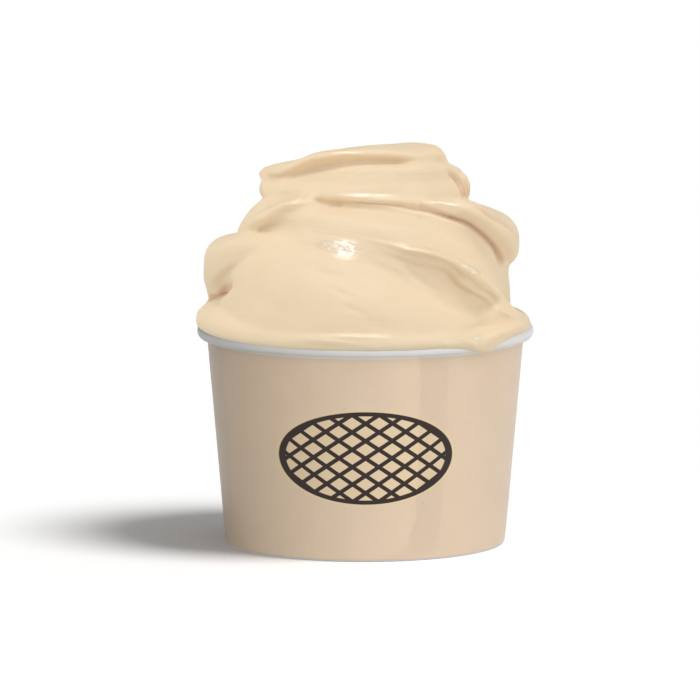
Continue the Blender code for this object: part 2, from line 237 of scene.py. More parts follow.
RIDGE = [
    (4.0, -37.6, 84.4, 0.5, 0.4, 0),
    (12.6, -37.2, 83.0, 1.6, 1.2, 0),
    (20.0, -34.8, 80.6, 1.8, 1.4, 0),
    (25.8, -31.4, 77.2, 2.0, 1.6, 0),
    (31.2, -27.0, 73.0, 2.0, 1.6, 0),
    (35.8, -20.8, 67.8, 2.0, 1.6, 0),
    (39.4, -11.4, 62.0, 2.0, 1.6, 0),
]
LIP = [
    (43.0, -8.0, 60.0, 2.2, 1.6, 0),
    (40.6, -17.0, 60.2, 2.8, 2.0, 0),
    (36.6, -24.5, 60.2, 3.4, 2.3, 0),
    (32.2, -30.2, 59.4, 4.0, 2.4, 0),
    (30.6, -33.0, 57.6, 4.0, 2.0, 0),
]
ROLLS = (CREST, LOBE, SPUR, RIDGE, LIP)

# The drop that hangs over the rim: centre x, y, z and half sizes along the rim, outwards and upwards
DRIP = ((30.4, -33.0, 57.6), (4.6, 1.9, 2.9))

# The gelato inside the cup is filled in between these heights, before it is trimmed to the room for it
PLUG_BOTTOM = 2.0
PLUG_TOP = 57.0

# The room for gelato outside the cup: how far out, how far up and how far down it goes
CLEAR_RADIUS = 60.0
CLEAR_TOP = 130.0
SKIRT_LIMIT = 53.5


def length_setting(name, description, size):
    """A setting that is a length, from its size in millimetres."""
    return FloatProperty(name=name, description=description, default=size * MM, unit="LENGTH")


def colour_setting(name, description, colour):
    return FloatVectorProperty(name=name, description=description, default=colour, subtype="COLOR")


def light_setting(name, description, energy):
    return FloatProperty(name=name, description=description, default=energy)


class GelatoCupSizes(bpy.types.PropertyGroup):
    """Sizes of the cup and of the gelato's relief."""

    rim_radius: length_setting("Rim radius", "Outside of the rolled rim", RIM_RADIUS)
    height: length_setting("Height", "Foot to rim", RIM_TOP)
    wall_top_radius: length_setting(
        "Wall radius under the rim", "Outside of the wall where the roll starts", 42.5
    )
    foot_radius: length_setting("Foot radius", "Outside of the wall at the ground", 37.5)
    board: length_setting("Board", "Thickness of the board", 0.45)
    segments: IntProperty(
        name="Turning steps", description="Steps of each full turn", default=192, min=24
    )
    voxel: length_setting("Gelato fineness", "Size of the smallest form in the gelato", 0.52)
    streak: length_setting("Streak height", "Height of the streaks that the spatula leaves", 0.16)


class GelatoCupColours(bpy.types.PropertyGroup):
    """Colours of paper and gelato, with the gelato's painted crease shade and painted glint highlight."""

    print_beige: colour_setting("Printed beige", "Outside of the cup", (0.69, 0.535, 0.385))
    print_brown: colour_setting(
        "Printed brown", "Ring and lattice of the printed oval", (0.02, 0.008, 0.005)
    )
    print_cream: colour_setting("Printed cream", "Ground of the printed oval", (0.72, 0.56, 0.36))
    paper_white: colour_setting("White board", "Rim, inside and floor", (0.72, 0.71, 0.69))
    gelato: colour_setting("Gelato", "Cream colour", (0.835, 0.665, 0.45))
    # Painted shade: a darker, warmer cream that stands for the shade in the deep creases
    gelato_crease_shade: colour_setting(
        "Gelato in the folds", "Warmer colour of the deep creases", (0.72, 0.53, 0.38)
    )
    # Painted highlight: a pale cream laid into the glint patches
    gelato_glint_highlight: colour_setting(
        "Gelato crystals", "Pale colour of the bare crystals", (0.93, 0.86, 0.74)
    )


class GelatoCupStudio(bpy.types.PropertyGroup):
    """Camera and light."""

    distance: length_setting("Camera distance", "Lens to cup", VIEW_DISTANCE)
    elevation: FloatProperty(
        name="Camera elevation",
        description="How far the camera looks down",
        default=radians(VIEW_TILT),
        subtype="ANGLE",
    )
    lens: FloatProperty(name="Lens", description="Focal length in millimetres", default=384.0)
    sky: light_setting("Room light", "Light from all round, stronger from the right", 0.42)
    key: light_setting("Key light", "Light on the floor from the right", 2.6)
    cup_light: light_setting("Cup light", "Broad light on the cup from the front right", 2.3)
    heap_light: light_setting("Heap light", "Light on the gelato from above and in front", 1.16)
    heap_fill: light_setting("Heap fill", "Broad light on the gelato from in front", 1.0)
    heap_sides: light_setting("Heap sides", "Light on the gelato from both sides", 1.1)
    gloss: light_setting("Gloss light", "Highlights on the wet ridges", 2.5)


# Helpers: shapes


def settings():
    scene = bpy.context.scene
    return scene.gelato_cup_sizes, scene.gelato_cup_colours, scene.gelato_cup_studio


def millimetres(length):
    return length / MM


def wall_radius(z):
    """Outer radius of the cup's wall at a height."""
    sizes = settings()[0]
    foot, top = millimetres(sizes.foot_radius), millimetres(sizes.wall_top_radius)
    return foot + (top - foot) * z / (millimetres(sizes.height) - ROLL_HALF_HEIGHT)


def oval_arc(start, end, steps, inwards=0.0):
    """Points along the rim's oval section, from one angle to another."""
    sizes = settings()[0]
    centre_r = millimetres(sizes.rim_radius) - ROLL_HALF_WIDTH
    centre_z = millimetres(sizes.height) - ROLL_HALF_HEIGHT
    points = []
    for k in range(steps + 1):
        turn = radians(start + (end - start) * k / steps)
        r = centre_r + (ROLL_HALF_WIDTH - inwards) * cos(turn)
        z = centre_z + (ROLL_HALF_HEIGHT - inwards) * sin(turn)
        points.append((r, z))
    return points


def turned(profile, segments, angle=2 * pi, first_angle=0.0):
    """Spins an outline of (radius, height) about the Z axis. An outline that starts and ends on the axis is
    left open there, any other is closed. A part turn has its two ends closed."""
    bm = bmesh.new()
    start = Matrix.Rotation(first_angle, 3, "Z")
    points = [bm.verts.new(start @ Vector((r * MM, 0.0, z * MM))) for r, z in profile]
    full = angle > 2 * pi - 1e-6
    geometry = list(points)
    first = 1 if profile[0][0] == 0 else 0
    geometry += [bm.edges.new((points[k - 1], points[k])) for k in range(first, len(points))]
    if not full:
        geometry.append(bm.faces.new(points))
    bmesh.ops.spin(
        bm,
        geom=geometry,
        cent=(0, 0, 0),
        axis=(0, 0, 1),
        angle=angle,
        steps=segments,
        use_merge=full,
        use_duplicate=False,
    )
    bmesh.ops.remove_doubles(bm, verts=bm.verts, dist=1e-6)
    bmesh.ops.recalc_face_normals(bm, faces=bm.faces)
    return bm


def catmull_rom(before, start, end, after, share):
    """A smooth value between start and end, from values at evenly counted keys."""
    return 0.5 * (
        2 * start
        + (end - before) * share
        + (2 * before - 5 * start + 4 * end - after) * share**2
        + (3 * start - before - 3 * end + after) * share**3
    )


def around(keys, angle):
    """The values of keys, a list of (angle, value, ...), at any angle, smooth all the way round."""
    angle %= 360
    count = len(keys)
    low = max((k for k in range(count) if keys[k][0] <= angle), default=count - 1)
    start, end = keys[low], keys[(low + 1) % count]
    before, after = keys[low - 1], keys[(low + 2) % count]
    span = (end[0] - start[0]) % 360
    share = ((angle - start[0]) % 360) / span
    values = zip(before[1:], start[1:], end[1:], after[1:])
    return [catmull_rom(*four, share) for four in values]


def along(stations, share):
    """The values of a list of stations at a share of its length, 0 to 1."""
    place = share * (len(stations) - 1)
    low = min(int(place), len(stations) - 2)
    picked = [stations[min(max(low + k, 0), len(stations) - 1)] for k in (-1, 0, 1, 2)]
    return [catmull_rom(*four, place - low) for four in zip(*picked)]


def smooth_step(low, high, value):
    share = min(1.0, max(0.0, (value - low) / (high - low)))
    return share * share * (3 - 2 * share)


def shape_layer(verts, keys):
    """Draws a unit ball out into a layer."""
    mean = [sum(key[k] for key in keys) / len(keys) for k in range(5)]
    for vert in verts:
        angle = degrees(atan2(vert.co.y, vert.co.x))
        reach, under, widest, top, square_below, square_above = around(keys, angle)
        out, up = hypot(vert.co.x, vert.co.y), vert.co.z
        square = square_above if up > 0 else square_below
        out_share = min(out, 1.0) ** (2 / square)
        up_share = abs(up) ** (2 / square)
        blend = smooth_step(0.0, 1.0, out_share * 1.3)
        middle = mean[3] + (widest - mean[3]) * blend
        if up > 0:
            end = mean[4] + (top - mean[4]) * blend
        else:
            end = mean[2] + (under - mean[2]) * blend
        turn = radians(angle)
        radius = reach * out_share
        height = middle + (end - middle) * up_share
        vert.co = Vector((radius * cos(turn), radius * sin(turn), height)) * MM


def shape_roll(verts, stations):
    """Draws a unit ball out along a line of stations."""
    for vert in verts:
        lie = 0.5 + 0.5 * vert.co.z
        x, y, z, half_width, half_height, tilt = along(stations, lie)
        ahead = along(stations, min(lie + 0.02, 1.0))
        behind = along(stations, max(lie - 0.02, 0.0))
        forward = Vector(ahead[:3]) - Vector(behind[:3])
        side = forward.cross(Vector((0, 0, 1))).normalized()
        lift = side.cross(forward).normalized()
        turn = atan2(vert.co.y, vert.co.x)
        across, high = half_width * cos(turn), half_height * sin(turn)
        lean = radians(tilt)
        offset = side * (across * cos(lean) - high * sin(lean))
        offset += lift * (across * sin(lean) + high * cos(lean))
        round_off = hypot(vert.co.x, vert.co.y) ** ROLL_BLUNTNESS
        vert.co = (Vector((x, y, z)) + offset * round_off) * MM


def shape_drop(verts, drop):
    """Draws a unit ball out into a drop that faces away from the cup's axis."""
    centre, (half_along, half_out, half_up) = drop
    facing = atan2(centre[1], centre[0])
    outwards = Vector((cos(facing), sin(facing), 0))
    sideways = Vector((-sin(facing), cos(facing), 0))
    for vert in verts:
        offset = sideways * (half_along * vert.co.x) + outwards * (half_out * vert.co.y)
        offset.z = half_up * vert.co.z
        vert.co = (Vector(centre) + offset) * MM


def add_ball(mesh_so_far, segments, rings, shape, values):
    """Adds a ball, drawn out into its shape, to a mesh."""
    bm = bmesh.new()
    bmesh.ops.create_uvsphere(bm, u_segments=segments // 3, v_segments=rings // 3, radius=1.0)
    bmesh.ops.subdivide_edges(bm, edges=bm.edges, cuts=2, use_grid_fill=True)
    for vert in bm.verts:
        vert.co.normalize()
    shape(bm.verts, values)
    bm.from_mesh(mesh_so_far)
    bm.to_mesh(mesh_so_far)
    bm.free()


def add_object(name, mesh, *finishes):
    for finish in finishes:
        mesh.materials.append(finish)
    obj = bpy.data.objects.new(name, mesh)
    bpy.context.scene.collection.objects.link(obj)
    return obj


def mesh_from(name, bm):
    mesh = bpy.data.meshes.new(name)
    bm.to_mesh(mesh)
    bm.free()
    return mesh


def smoothed(obj, sharp_from):
    """Shades an object smooth, but not over edges sharper than an angle in degrees."""
    obj.data.shade_smooth()
    obj.data.set_sharp_from_angle(angle=radians(sharp_from))


def applied(obj):
    """A new mesh that holds the object's shape with its modifiers applied."""
    graph = bpy.context.evaluated_depsgraph_get()
    graph.update()
    return bpy.data.meshes.new_from_object(obj.evaluated_get(graph), depsgraph=graph)


# Helpers: finishes


class Finish:
    """A material with a small way to add and join its nodes."""

    def __init__(self, name):
        self.material = bpy.data.materials.new(name)
        self.material.use_nodes = True
        self.tree = self.material.node_tree
        self.shader = self.tree.nodes["Principled BSDF"]

    def node(self, kind, **values):
        made = self.tree.nodes.new("ShaderNode" + kind)
        for key, value in values.items():
            setattr(made, key, value)
        return made

    def join(self, out, into):
        self.tree.links.new(out, into)

    def set(self, values):
        for name, value in values.items():
            self.shader.inputs[name].default_value = value

    def place(self, scale=(1, 1, 1)):
        """The object's own coordinates, stretched."""
        coordinates = self.node("TexCoord")
        mapping = self.node("Mapping")
        mapping.inputs["Scale"].default_value = scale
        self.join(coordinates.outputs["Object"], mapping.inputs["Vector"])
        return mapping.outputs["Vector"]

    def noise(self, vector, scale, detail=3.0, rough=0.5):
        made = self.node("TexNoise")
        made.inputs["Scale"].default_value = scale
        made.inputs["Detail"].default_value = detail
        made.inputs["Roughness"].default_value = rough
        self.join(vector, made.inputs["Vector"])
        return made.outputs["Fac"]

    def ramp(self, value, low, high, low_colour, high_colour):
        made = self.node("ValToRGB")
        made.color_ramp.elements[0].position = low
        made.color_ramp.elements[1].position = high
        made.color_ramp.elements[0].color = (*low_colour, 1.0)
        made.color_ramp.elements[1].color = (*high_colour, 1.0)
        self.join(value, made.inputs["Fac"])
        return made.outputs["Color"]

    def spread(self, value, low, high, out_low, out_high):
        made = self.node("MapRange")
        for name, number in zip(
            ("From Min", "From Max", "To Min", "To Max"), (low, high, out_low, out_high)
        ):
            made.inputs[name].default_value = number
        self.join(value, made.inputs["Value"])
        return made.outputs["Result"]

    def maths(self, operation, *values):
        made = self.node("Math", operation=operation)
        for slot, value in zip(made.inputs, values):
            if isinstance(value, float):
                slot.default_value = value
            else:
                self.join(value, slot)
        return made.outputs["Value"]

    def blend(self, share, under, over):
        """Lays a plain colour over another by a share."""
        made = self.node("Mix", data_type="RGBA")
        self.join(share, made.inputs["Factor"])
        self.join(under, made.inputs["A"])
        made.inputs["B"].default_value = (*over, 1.0)
        return made.outputs["Result"]

    def bump(self, height, strength, distance, under=None):
        made = self.node("Bump")
        made.inputs["Strength"].default_value = strength
        made.inputs["Distance"].default_value = distance
        self.join(height, made.inputs["Height"])
        if under is not None:
            self.join(under, made.inputs["Normal"])
        return made.outputs["Normal"]


def shade(colour, share):
    return tuple(max(0.0, min(1.0, channel * share)) for channel in colour)


def board_finish(name, colour, roughness, mottle, grain_height, motif=None):
    """Coated board: faint cloudy mottling, paper fibre, small specks and a soft sheen."""
    finish = Finish(name)
    place = finish.place()
    clouds = finish.noise(place, 90.0, 4.0, 0.6)
    fibre = finish.noise(finish.place((1.0, 1.0, 0.45)), 2200.0, 3.0, 0.65)
    specks = finish.noise(place, 800.0, 1.0, 0.4)
    board = finish.ramp(clouds, 0.35, 0.65, shade(colour, 1 - mottle), shade(colour, 1 + mottle))
    board = finish.blend(finish.spread(fibre, 0.35, 0.65, 0.0, 0.35), board, shade(colour, 1.07))
    board = finish.blend(finish.spread(specks, 0.24, 0.18, 0.0, 0.30), board, shade(colour, 0.72))
    if motif is not None:
        board = add_motif(finish, board, *motif)
    finish.join(board, finish.shader.inputs["Base Color"])
    waves = finish.noise(place, 220.0, 2.0, 0.5)
    soft = finish.bump(waves, 0.25, 0.0004)
    finish.join(finish.bump(fibre, 0.35, grain_height, soft), finish.shader.inputs["Normal"])
    finish.join(
        finish.spread(fibre, 0.3, 0.7, roughness - 0.05, roughness + 0.05),
        finish.shader.inputs["Roughness"],
    )
    finish.set({"Specular IOR Level": 0.3, "Coat Weight": 0.15, "Coat Roughness": 0.35})
    return finish.material


def add_motif(finish, board, dark, light):
    """Prints an oval on the board: a dark ring and plain lattice on a light ground."""
    parts = finish.node("SeparateXYZ")
    finish.join(finish.node("TexCoord").outputs["Object"], parts.inputs["Vector"])
    x, y, z = (parts.outputs[axis] for axis in "XYZ")
    turn = finish.maths("ARCTAN2", x, finish.maths("MULTIPLY", y, -1.0))
    length = finish.maths("MULTIPLY", turn, MOTIF_RADIUS * MM)
    high = finish.maths("SUBTRACT", z, MOTIF_MIDDLE * MM)
    along_oval = finish.maths("DIVIDE", length, MOTIF_HALF_LENGTH * MM)
    up_oval = finish.maths("DIVIDE", high, MOTIF_HALF_HEIGHT * MM)
    out = finish.maths(
        "SQRT",
        finish.maths(
            "ADD",
            finish.maths("MULTIPLY", along_oval, along_oval),
            finish.maths("MULTIPLY", up_oval, up_oval),
        ),
    )
    lines = []
    for way in ("ADD", "SUBTRACT"):
        slope = finish.maths(way, length, finish.maths("MULTIPLY", high, 1.5))
        turns = finish.maths("MULTIPLY", slope, 2 * pi / (LATTICE_WAVE * MM))
        wave = finish.maths("SINE", turns)
        lines.append(finish.maths("ABSOLUTE", wave))
    lattice = finish.maths("MINIMUM", *lines)
    inside = finish.spread(out, 0.92, 0.91, 0.0, 1.0)
    mesh_lines = finish.maths("MULTIPLY", finish.spread(lattice, 0.46, 0.40, 0.0, 1.0), inside)
    board = finish.blend(finish.spread(out, 1.045, 1.035, 0.0, 1.0), board, light)
    board = finish.blend(finish.spread(out, 1.0, 0.99, 0.0, 1.0), board, dark)
    board = finish.blend(finish.spread(out, 0.91, 0.90, 0.0, 1.0), board, light)
    return finish.blend(mesh_lines, board, dark)


def gelato_finish(colours):
    """Soft cream: light spreads under it, fine streaks follow its folds, and it shines where it is wet.
    Painted shade darkens its deep creases and a painted highlight pales its glint patches.
    """
    finish = Finish("gelato_cream")
    flow = finish.node("Attribute", attribute_name="flow").outputs["Vector"]
    wet = finish.node("Attribute", attribute_name="wet").outputs["Fac"]
    place = finish.place()
    clouds = finish.noise(place, 60.0, 3.0, 0.5)
    cream = finish.ramp(
        clouds, 0.3, 0.7, shade(colours.gelato, 0.975), shade(colours.gelato, 1.02)
    )
    # Painted shade: the deep creases are darkened towards the crease shade colour
    deep = finish.node("Attribute", attribute_name="deep").outputs["Fac"]
    cream = finish.blend(deep, cream, colours.gelato_crease_shade)
    crystals = finish.noise(place, 700.0, 2.0, 0.55)
    # Painted highlight: where the wet patches are whole the cream pales in a mottle, beside the real frost
    # bump
    bare = finish.spread(wet, 0.80, 1.0, 0.0, 1.0)
    uneven = finish.maths("SUBTRACT", crystals, 0.5)
    glint_paint = finish.maths("ADD", bare, finish.maths("MULTIPLY", uneven, 2.0))
    cream = finish.blend(finish.spread(glint_paint, 0.65, 1.25, 0.0, 0.8), cream, colours.gelato_glint_highlight)
    finish.join(cream, finish.shader.inputs["Base Color"])

    streaks = finish.noise(flow, 1.0, 5.0, 0.62)
    grain = finish.noise(place, 1500.0, 3.0, 0.6)
    frost = finish.maths("MULTIPLY", uneven, bare)
    soft = finish.bump(streaks, 0.35, 0.0003)
    rough = finish.bump(grain, 0.2, 0.00007, soft)
    finish.join(finish.bump(frost, 0.5, 0.0005, rough), finish.shader.inputs["Normal"])
    dry = finish.spread(streaks, 0.3, 0.7, 0.64, 0.74)
    shine = finish.node("Mix", data_type="FLOAT")
    finish.join(wet, shine.inputs["Factor"])
    finish.join(dry, shine.inputs["A"])
    shine.inputs["B"].default_value = 0.16
    finish.join(shine.outputs["Result"], finish.shader.inputs["Roughness"])

    finish.shader.subsurface_method = "RANDOM_WALK"
    finish.set(
        {
            "Subsurface Weight": 0.35,
            "Subsurface Radius": (1.0, 0.72, 0.48),
            "Subsurface Scale": 0.003,
            "Specular IOR Level": 0.42,
        }
    )
    return finish.material


# The cup


def sheet_outline(board):
    """The cup's sheet seen in section: wall, rolled rim and turned-up foot."""
    foot = millimetres(settings()[0].foot_radius)
    outer_roll = oval_arc(ROLL_START_ANGLE, ROLL_END_ANGLE, 30)
    inner_roll = oval_arc(ROLL_END_ANGLE, ROLL_START_ANGLE - 30, 20, board)
    channel = board + 2 * CLEARANCE
    foot_inner = foot - 2 * board - channel
    turn_top = wall_radius(TURN_UP) - board - channel
    bend = [
        (foot - FOOT_BEND * (1 - sin(radians(a))), FOOT_BEND * (1 - cos(radians(a))))
        for a in BEND_ANGLES
    ]
    outside = bend + [(wall_radius(z), z) for z in WALL_HEIGHTS]
    inside = [
        (wall_radius(TURN_UP) - board, TURN_UP),
        (wall_radius(board) - board, board),
        (foot_inner + board, board),
        (turn_top, TURN_UP),
        (turn_top - board, TURN_UP),
        (foot_inner, FOOT_CHAMFER),
        (foot_inner + FOOT_CHAMFER, 0.0),
    ]
    return outside + inner_roll[::-1] + outer_roll[::-1] + inside


class GELATOCUP_OT_add_sheet(bpy.types.Operator):
    """Adds the cup's sheet: wall, rolled rim, turned-up foot and the lap of its side seam"""

    bl_idname = "gelato_cup.add_sheet"
    bl_label = "Add Cup Wall"

    def execute(self, context):
        sizes, colours, _ = settings()
        board = millimetres(sizes.board)
        motif = (tuple(colours.print_brown), tuple(colours.print_cream))
        beige = tuple(colours.print_beige)
        printed = board_finish("printed_board", beige, 0.42, 0.02, 0.00003, motif)
        white = board_finish("white_board", tuple(colours.paper_white), 0.42, 0.012, 0.00002)
        bm = turned(sheet_outline(board), sizes.segments)
        under_roll = millimetres(sizes.height) - 2 * ROLL_HALF_HEIGHT
        print_top = (under_roll - PRINT_EDGE) * MM
        for face in bm.faces:
            centre = face.calc_center_median()
            radius = hypot(centre.x, centre.y)
            outer = radius > (wall_radius(centre.z / MM) - 0.5 * board) * MM
            face.material_index = 0 if outer and centre.z < print_top else 1
        sheet = add_object("cup_sheet", mesh_from("cup_sheet", bm), printed, white)
        smoothed(sheet, 50)
        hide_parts("cup_wall")
        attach(sheet, "root")

        low, high = FOOT_BEND, under_roll - 2 * PRINT_EDGE
        lap = [
            (wall_radius(low) - SEAM_SINK, low),
            (wall_radius(low) + SEAM_HEIGHT, low + SEAM_BEVEL),
            (wall_radius(high) + SEAM_HEIGHT, high - SEAM_BEVEL),
            (wall_radius(high) - SEAM_SINK, high),
        ]
        bm = turned(lap, SEAM_STEPS, radians(SEAM_WIDTH), radians(SEAM_START))
        seam = add_object("side_seam", mesh_from("side_seam", bm), printed)
        smoothed(seam, 30)
        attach(seam, "root")
        return {"FINISHED"}


class GELATOCUP_OT_add_floor(bpy.types.Operator):
    """Adds the cup's floor disc with its turned-down skirt"""

    bl_idname = "gelato_cup.add_floor"
    bl_label = "Add Cup Floor"

    def execute(self, context):
        sizes, colours, _ = settings()
        board = millimetres(sizes.board)
        white = board_finish("floor_board", tuple(colours.paper_white), 0.5, 0.02, 0.00003)
        skirt = wall_radius(TURN_UP) - board - CLEARANCE
        foot = board + CLEARANCE
        low = wall_radius(foot) - board - CLEARANCE
        outline = [
            (0.0, FLOOR_TOP - board),
            (skirt - board - FLOOR_CHAMFER, FLOOR_TOP - board),
            (skirt - board, FLOOR_TOP - board - FLOOR_CHAMFER),
            (low - board, foot),
            (low, foot),
            (skirt, FLOOR_TOP - FLOOR_BEND),
            (skirt - 0.3 * FLOOR_BEND, FLOOR_TOP - 0.3 * FLOOR_BEND),
            (skirt - FLOOR_BEND, FLOOR_TOP),
            (0.0, FLOOR_TOP),
        ]
        bm = turned(outline, sizes.segments)
        disc = add_object("floor_disc", mesh_from("floor_disc", bm), white)
        smoothed(disc, 50)
        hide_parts("cup_floor")
        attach(disc, "root")
        return {"FINISHED"}


# The gelato


def room_outline():
    """All the space that gelato may fill: the cup's inside, above it, over the rim and beside it."""
    sizes = settings()[0]
    board = millimetres(sizes.board)
    floor = FLOOR_TOP + CONTACT
    return [
        (0.0, floor),
        (wall_radius(floor) - board - CONTACT, floor),
        *oval_arc(180, -60, 40, -CONTACT),
        (wall_radius(SKIRT_LIMIT) + CONTACT, SKIRT_LIMIT),
        (CLEAR_RADIUS, SKIRT_LIMIT),
        (CLEAR_RADIUS, CLEAR_TOP),
        (0.0, CLEAR_TOP),
    ]


def plug_outline():
    """The gelato inside the cup, a little too wide, to be trimmed to the room."""
    half_board = millimetres(settings()[0].board) / 2
    return [
        (0.0, PLUG_BOTTOM),
        (wall_radius(PLUG_BOTTOM) - half_board, PLUG_BOTTOM),
        (wall_radius(PLUG_TOP) - half_board, PLUG_TOP),
        (0.0, PLUG_TOP),
    ]


# The heap's front is worked over as it is seen from the camera. Every point below is across and up, in
# millimetres from the middle of the view.

# Places where a crease is worn to a soft hollow: points along it, how far round it and how much
SOFT_PLACES = (
    (((19.0, 53.5), (23.5, 53.0), (26.5, 49.5), (27.0, 44.0)), 4.5, 1.0),
    (((-21.0, 31.6), (-12.0, 31.4), (-2.0, 29.6), (7.0, 27.6)), 4.5, 1.0),
    (((-10.0, 44.0), (0.0, 45.0), (12.0, 45.4), (22.0, 44.6)), 3.5, 1.0),
    (((6.0, 26.0), (13.0, 22.6), (20.0, 18.0), (27.0, 12.6), (34.0, 8.4)), 5.0, 1.0),
    (((24.0, 33.0), (31.0, 30.0), (36.0, 25.0), (39.5, 20.0)), 3.6, 1.0),
    (((-41.0, 17.0), (-37.0, 15.0), (-33.0, 17.0)), 2.6, 0.9),
    (((30.0, -0.4), (34.8, -0.6), (39.0, 0.8)), 2.6, 0.9),
    (((36.4, 14.0), (39.0, 11.2), (42.0, 9.0)), 2.6, 0.9),
    (((-20.0, 42.4), (-16.0, 42.2), (-12.0, 42.6)), 2.0, 0.9),
    (((-25.0, 46.6), (-23.0, 45.4), (-20.6, 44.8)), 1.5, 0.5),
)

# Strokes on the front. Each is the points along it, its half width, how high it stands, the shares of its
# length over which it tapers to its start and to its end, and how wet it is. A negative height is a groove.
STROKES = (
    # under the top fold
    (((-21.0, 43.0), (-18.5, 44.6), (-15.5, 46.0)), 1.4, -0.6, 0.4, 0.7, 0),
    # the top fold's own ridge and its turned edge on the right
    (((-11.0, 51.0), (-5.0, 52.4), (4.0, 53.0)), 0.7, 0.30, 0.6, 0.6, 1),
    (((21.0, 56.6), (24.0, 53.0), (26.6, 49.4)), 0.6, 0.35, 0.3, 0.5, 0.3),
    # the dark gap beside the lobe at the top right
    (((26.4, 47.8), (28.6, 46.1), (30.0, 44.3), (30.9, 42.2), (31.4, 40.6)), 0.5, -2.7, 0.35, 0.1, 0),
    # the long ridge across the second fold, and its lip
    (((-8.0, 41.8), (-5.8, 41.6), (1.0, 41.5), (8.0, 41.8), (13.0, 42.4), (16.5, 43.8)),
     0.65, 0.36, 0.2, 0.5, 1),
    (((-12.0, 40.9), (-5.0, 39.7), (0.0, 39.4), (8.0, 39.1), (13.0, 38.9), (17.1, 38.3), (21.0, 37.6)),
     0.42, -0.8, 0.3, 0.1, 0),
    # the small fold at the left under it
    (((-23.0, 37.0), (-17.8, 39.2), (-12.8, 40.8)), 0.65, 0.6, 0.5, 0.1, 1),
    (((-23.5, 39.4), (-18.0, 41.3), (-13.4, 42.6)), 0.9, -0.4, 0.5, 0.5, 0),
    (((-24.9, 31.6), (-23.6, 32.3), (-21.8, 33.0), (-19.0, 33.6)), 0.36, -0.8, 0.15, 0.8, 0),
    (((-22.0, 35.4), (-17.0, 36.4), (-10.0, 37.0)), 1.2, -0.4, 0.5, 0.7, 0),
    # the roll: its start, its ridge and the crease under it
    (((18.0, 40.6), (18.8, 39.2), (19.4, 38.0)), 0.45, -0.5, 0.4, 0.4, 0),
    (((20.6, 39.9), (25.0, 39.3), (30.2, 37.8)), 0.55, 0.42, 0.4, 0.7, 1),
    (((18.2, 38.3), (23.0, 37.0), (27.6, 35.4), (31.1, 33.9), (34.0, 31.9), (37.0, 29.2), (39.2, 26.6),
      (41.1, 22.8)),
     0.42, -1.6, 0.3, 0.05, 0),
    (((31.7, 39.9), (34.7, 38.0), (38.1, 35.6), (40.3, 34.4), (42.6, 32.7), (44.3, 30.2)),
     0.34, -1.15, 0.4, 0.3, 0),
    # the third fold: two ridges that run together at the right
    (((2.0, 29.6), (10.0, 28.2), (15.0, 26.8), (20.0, 26.1), (25.0, 24.9), (28.4, 23.0)),
     0.5, 0.34, 0.5, 0.4, 1),
    (((8.0, 27.0), (13.5, 25.2), (19.5, 23.8), (24.0, 22.8)), 0.5, 0.32, 0.6, 0.5, 1),
    (((29.4, 22.4), (31.2, 21.4), (32.6, 20.4)), 0.8, 0.5, 0.4, 0.5, 1),
    (((24.0, 22.8), (27.6, 21.0), (30.2, 18.4), (33.6, 16.0), (37.4, 13.4), (40.4, 10.6), (43.8, 8.8),
      (46.6, 8.0)),
     0.55, 0.5, 0.4, 0.3, 0.4),
    # the hollow under it
    (((14.0, 22.4), (17.8, 19.6), (23.1, 16.6)), 0.8, -0.8, 0.5, 0.5, 0),
    (((25.0, 19.6), (28.5, 17.2), (33.0, 13.8)), 0.8, -0.8, 0.5, 0.4, 0),
    # faint marks across the broad lower fold
    (((-19.0, 22.8), (-11.0, 22.2), (-5.0, 20.2), (4.0, 17.2), (9.0, 15.6)), 1.6, -0.4, 0.5, 0.8, 0),
    (((-9.1, 21.0), (-5.4, 20.5), (-1.6, 20.0)), 0.55, -0.22, 0.4, 0.4, 0),
    (((-5.9, 17.4), (-2.5, 15.3), (1.2, 14.1)), 0.6, -0.25, 0.4, 0.5, 0),
    (((-2.5, 12.2), (1.2, 10.6), (5.0, 9.2)), 0.6, -0.22, 0.4, 0.5, 0),
    (((2.1, 20.5), (7.8, 17.7)), 0.6, -0.22, 0.5, 0.5, 0),
    (((19.3, 13.9), (24.6, 11.0), (27.6, 10.2)), 0.8, 0.3, 0.6, 0.7, 0),
    (((22.6, 13.4), (27.6, 11.8), (30.0, 11.2)), 0.6, -0.4, 0.6, 0.7, 0),
    (((-26.0, 14.4), (-20.0, 11.6), (-12.0, 8.0)), 1.6, -0.35, 0.6, 0.8, 0),
    (((2.0, 8.6), (8.0, 6.4), (16.0, 5.4)), 1.4, -0.3, 0.6, 0.7, 0),
    # the pocket at the left
    (((-35.0, 14.1), (-34.8, 15.2), (-33.1, 16.9), (-32.2, 17.9)), 0.6, -2.2, 0.1, 0.6, 0),
    (((-38.8, 13.7), (-36.6, 14.1), (-35.0, 14.1)), 0.45, -1.6, 0.2, 0.2, 0),
    (((-36.4, 15.2), (-34.8, 17.6), (-32.6, 20.0)), 1.3, -0.9, 0.3, 0.6, 0),
    # fine ridges above the rim
    (((-16.3, 2.7), (-8.6, 2.4), (-3.7, 2.0), (2.4, 1.4)), 0.55, 0.36, 0.4, 0.4, 1),
    (((-13.0, 3.5), (-5.3, 3.6), (4.0, 3.4), (12.0, 3.5)), 0.45, 0.26, 0.5, 0.5, 0.8),
    (((-13.0, 1.8), (-4.0, 1.0), (5.0, 0.4)), 0.5, -0.2, 0.5, 0.6, 0),
    # the lobe that runs out over the rim
    (((22.8, 4.3), (26.5, 4.0), (30.3, 3.0), (32.7, 1.7), (34.0, 0.5)), 0.55, 0.5, 0.5, 0.3, 0.6),
    (((30.8, 5.1), (34.0, 6.4), (37.0, 7.1), (41.8, 7.0)), 0.6, -0.6, 0.5, 0.5, 0),
    (((36.8, 9.8), (39.6, 8.8), (42.4, 8.0)), 1.1, -0.45, 0.5, 0.4, 0),
)

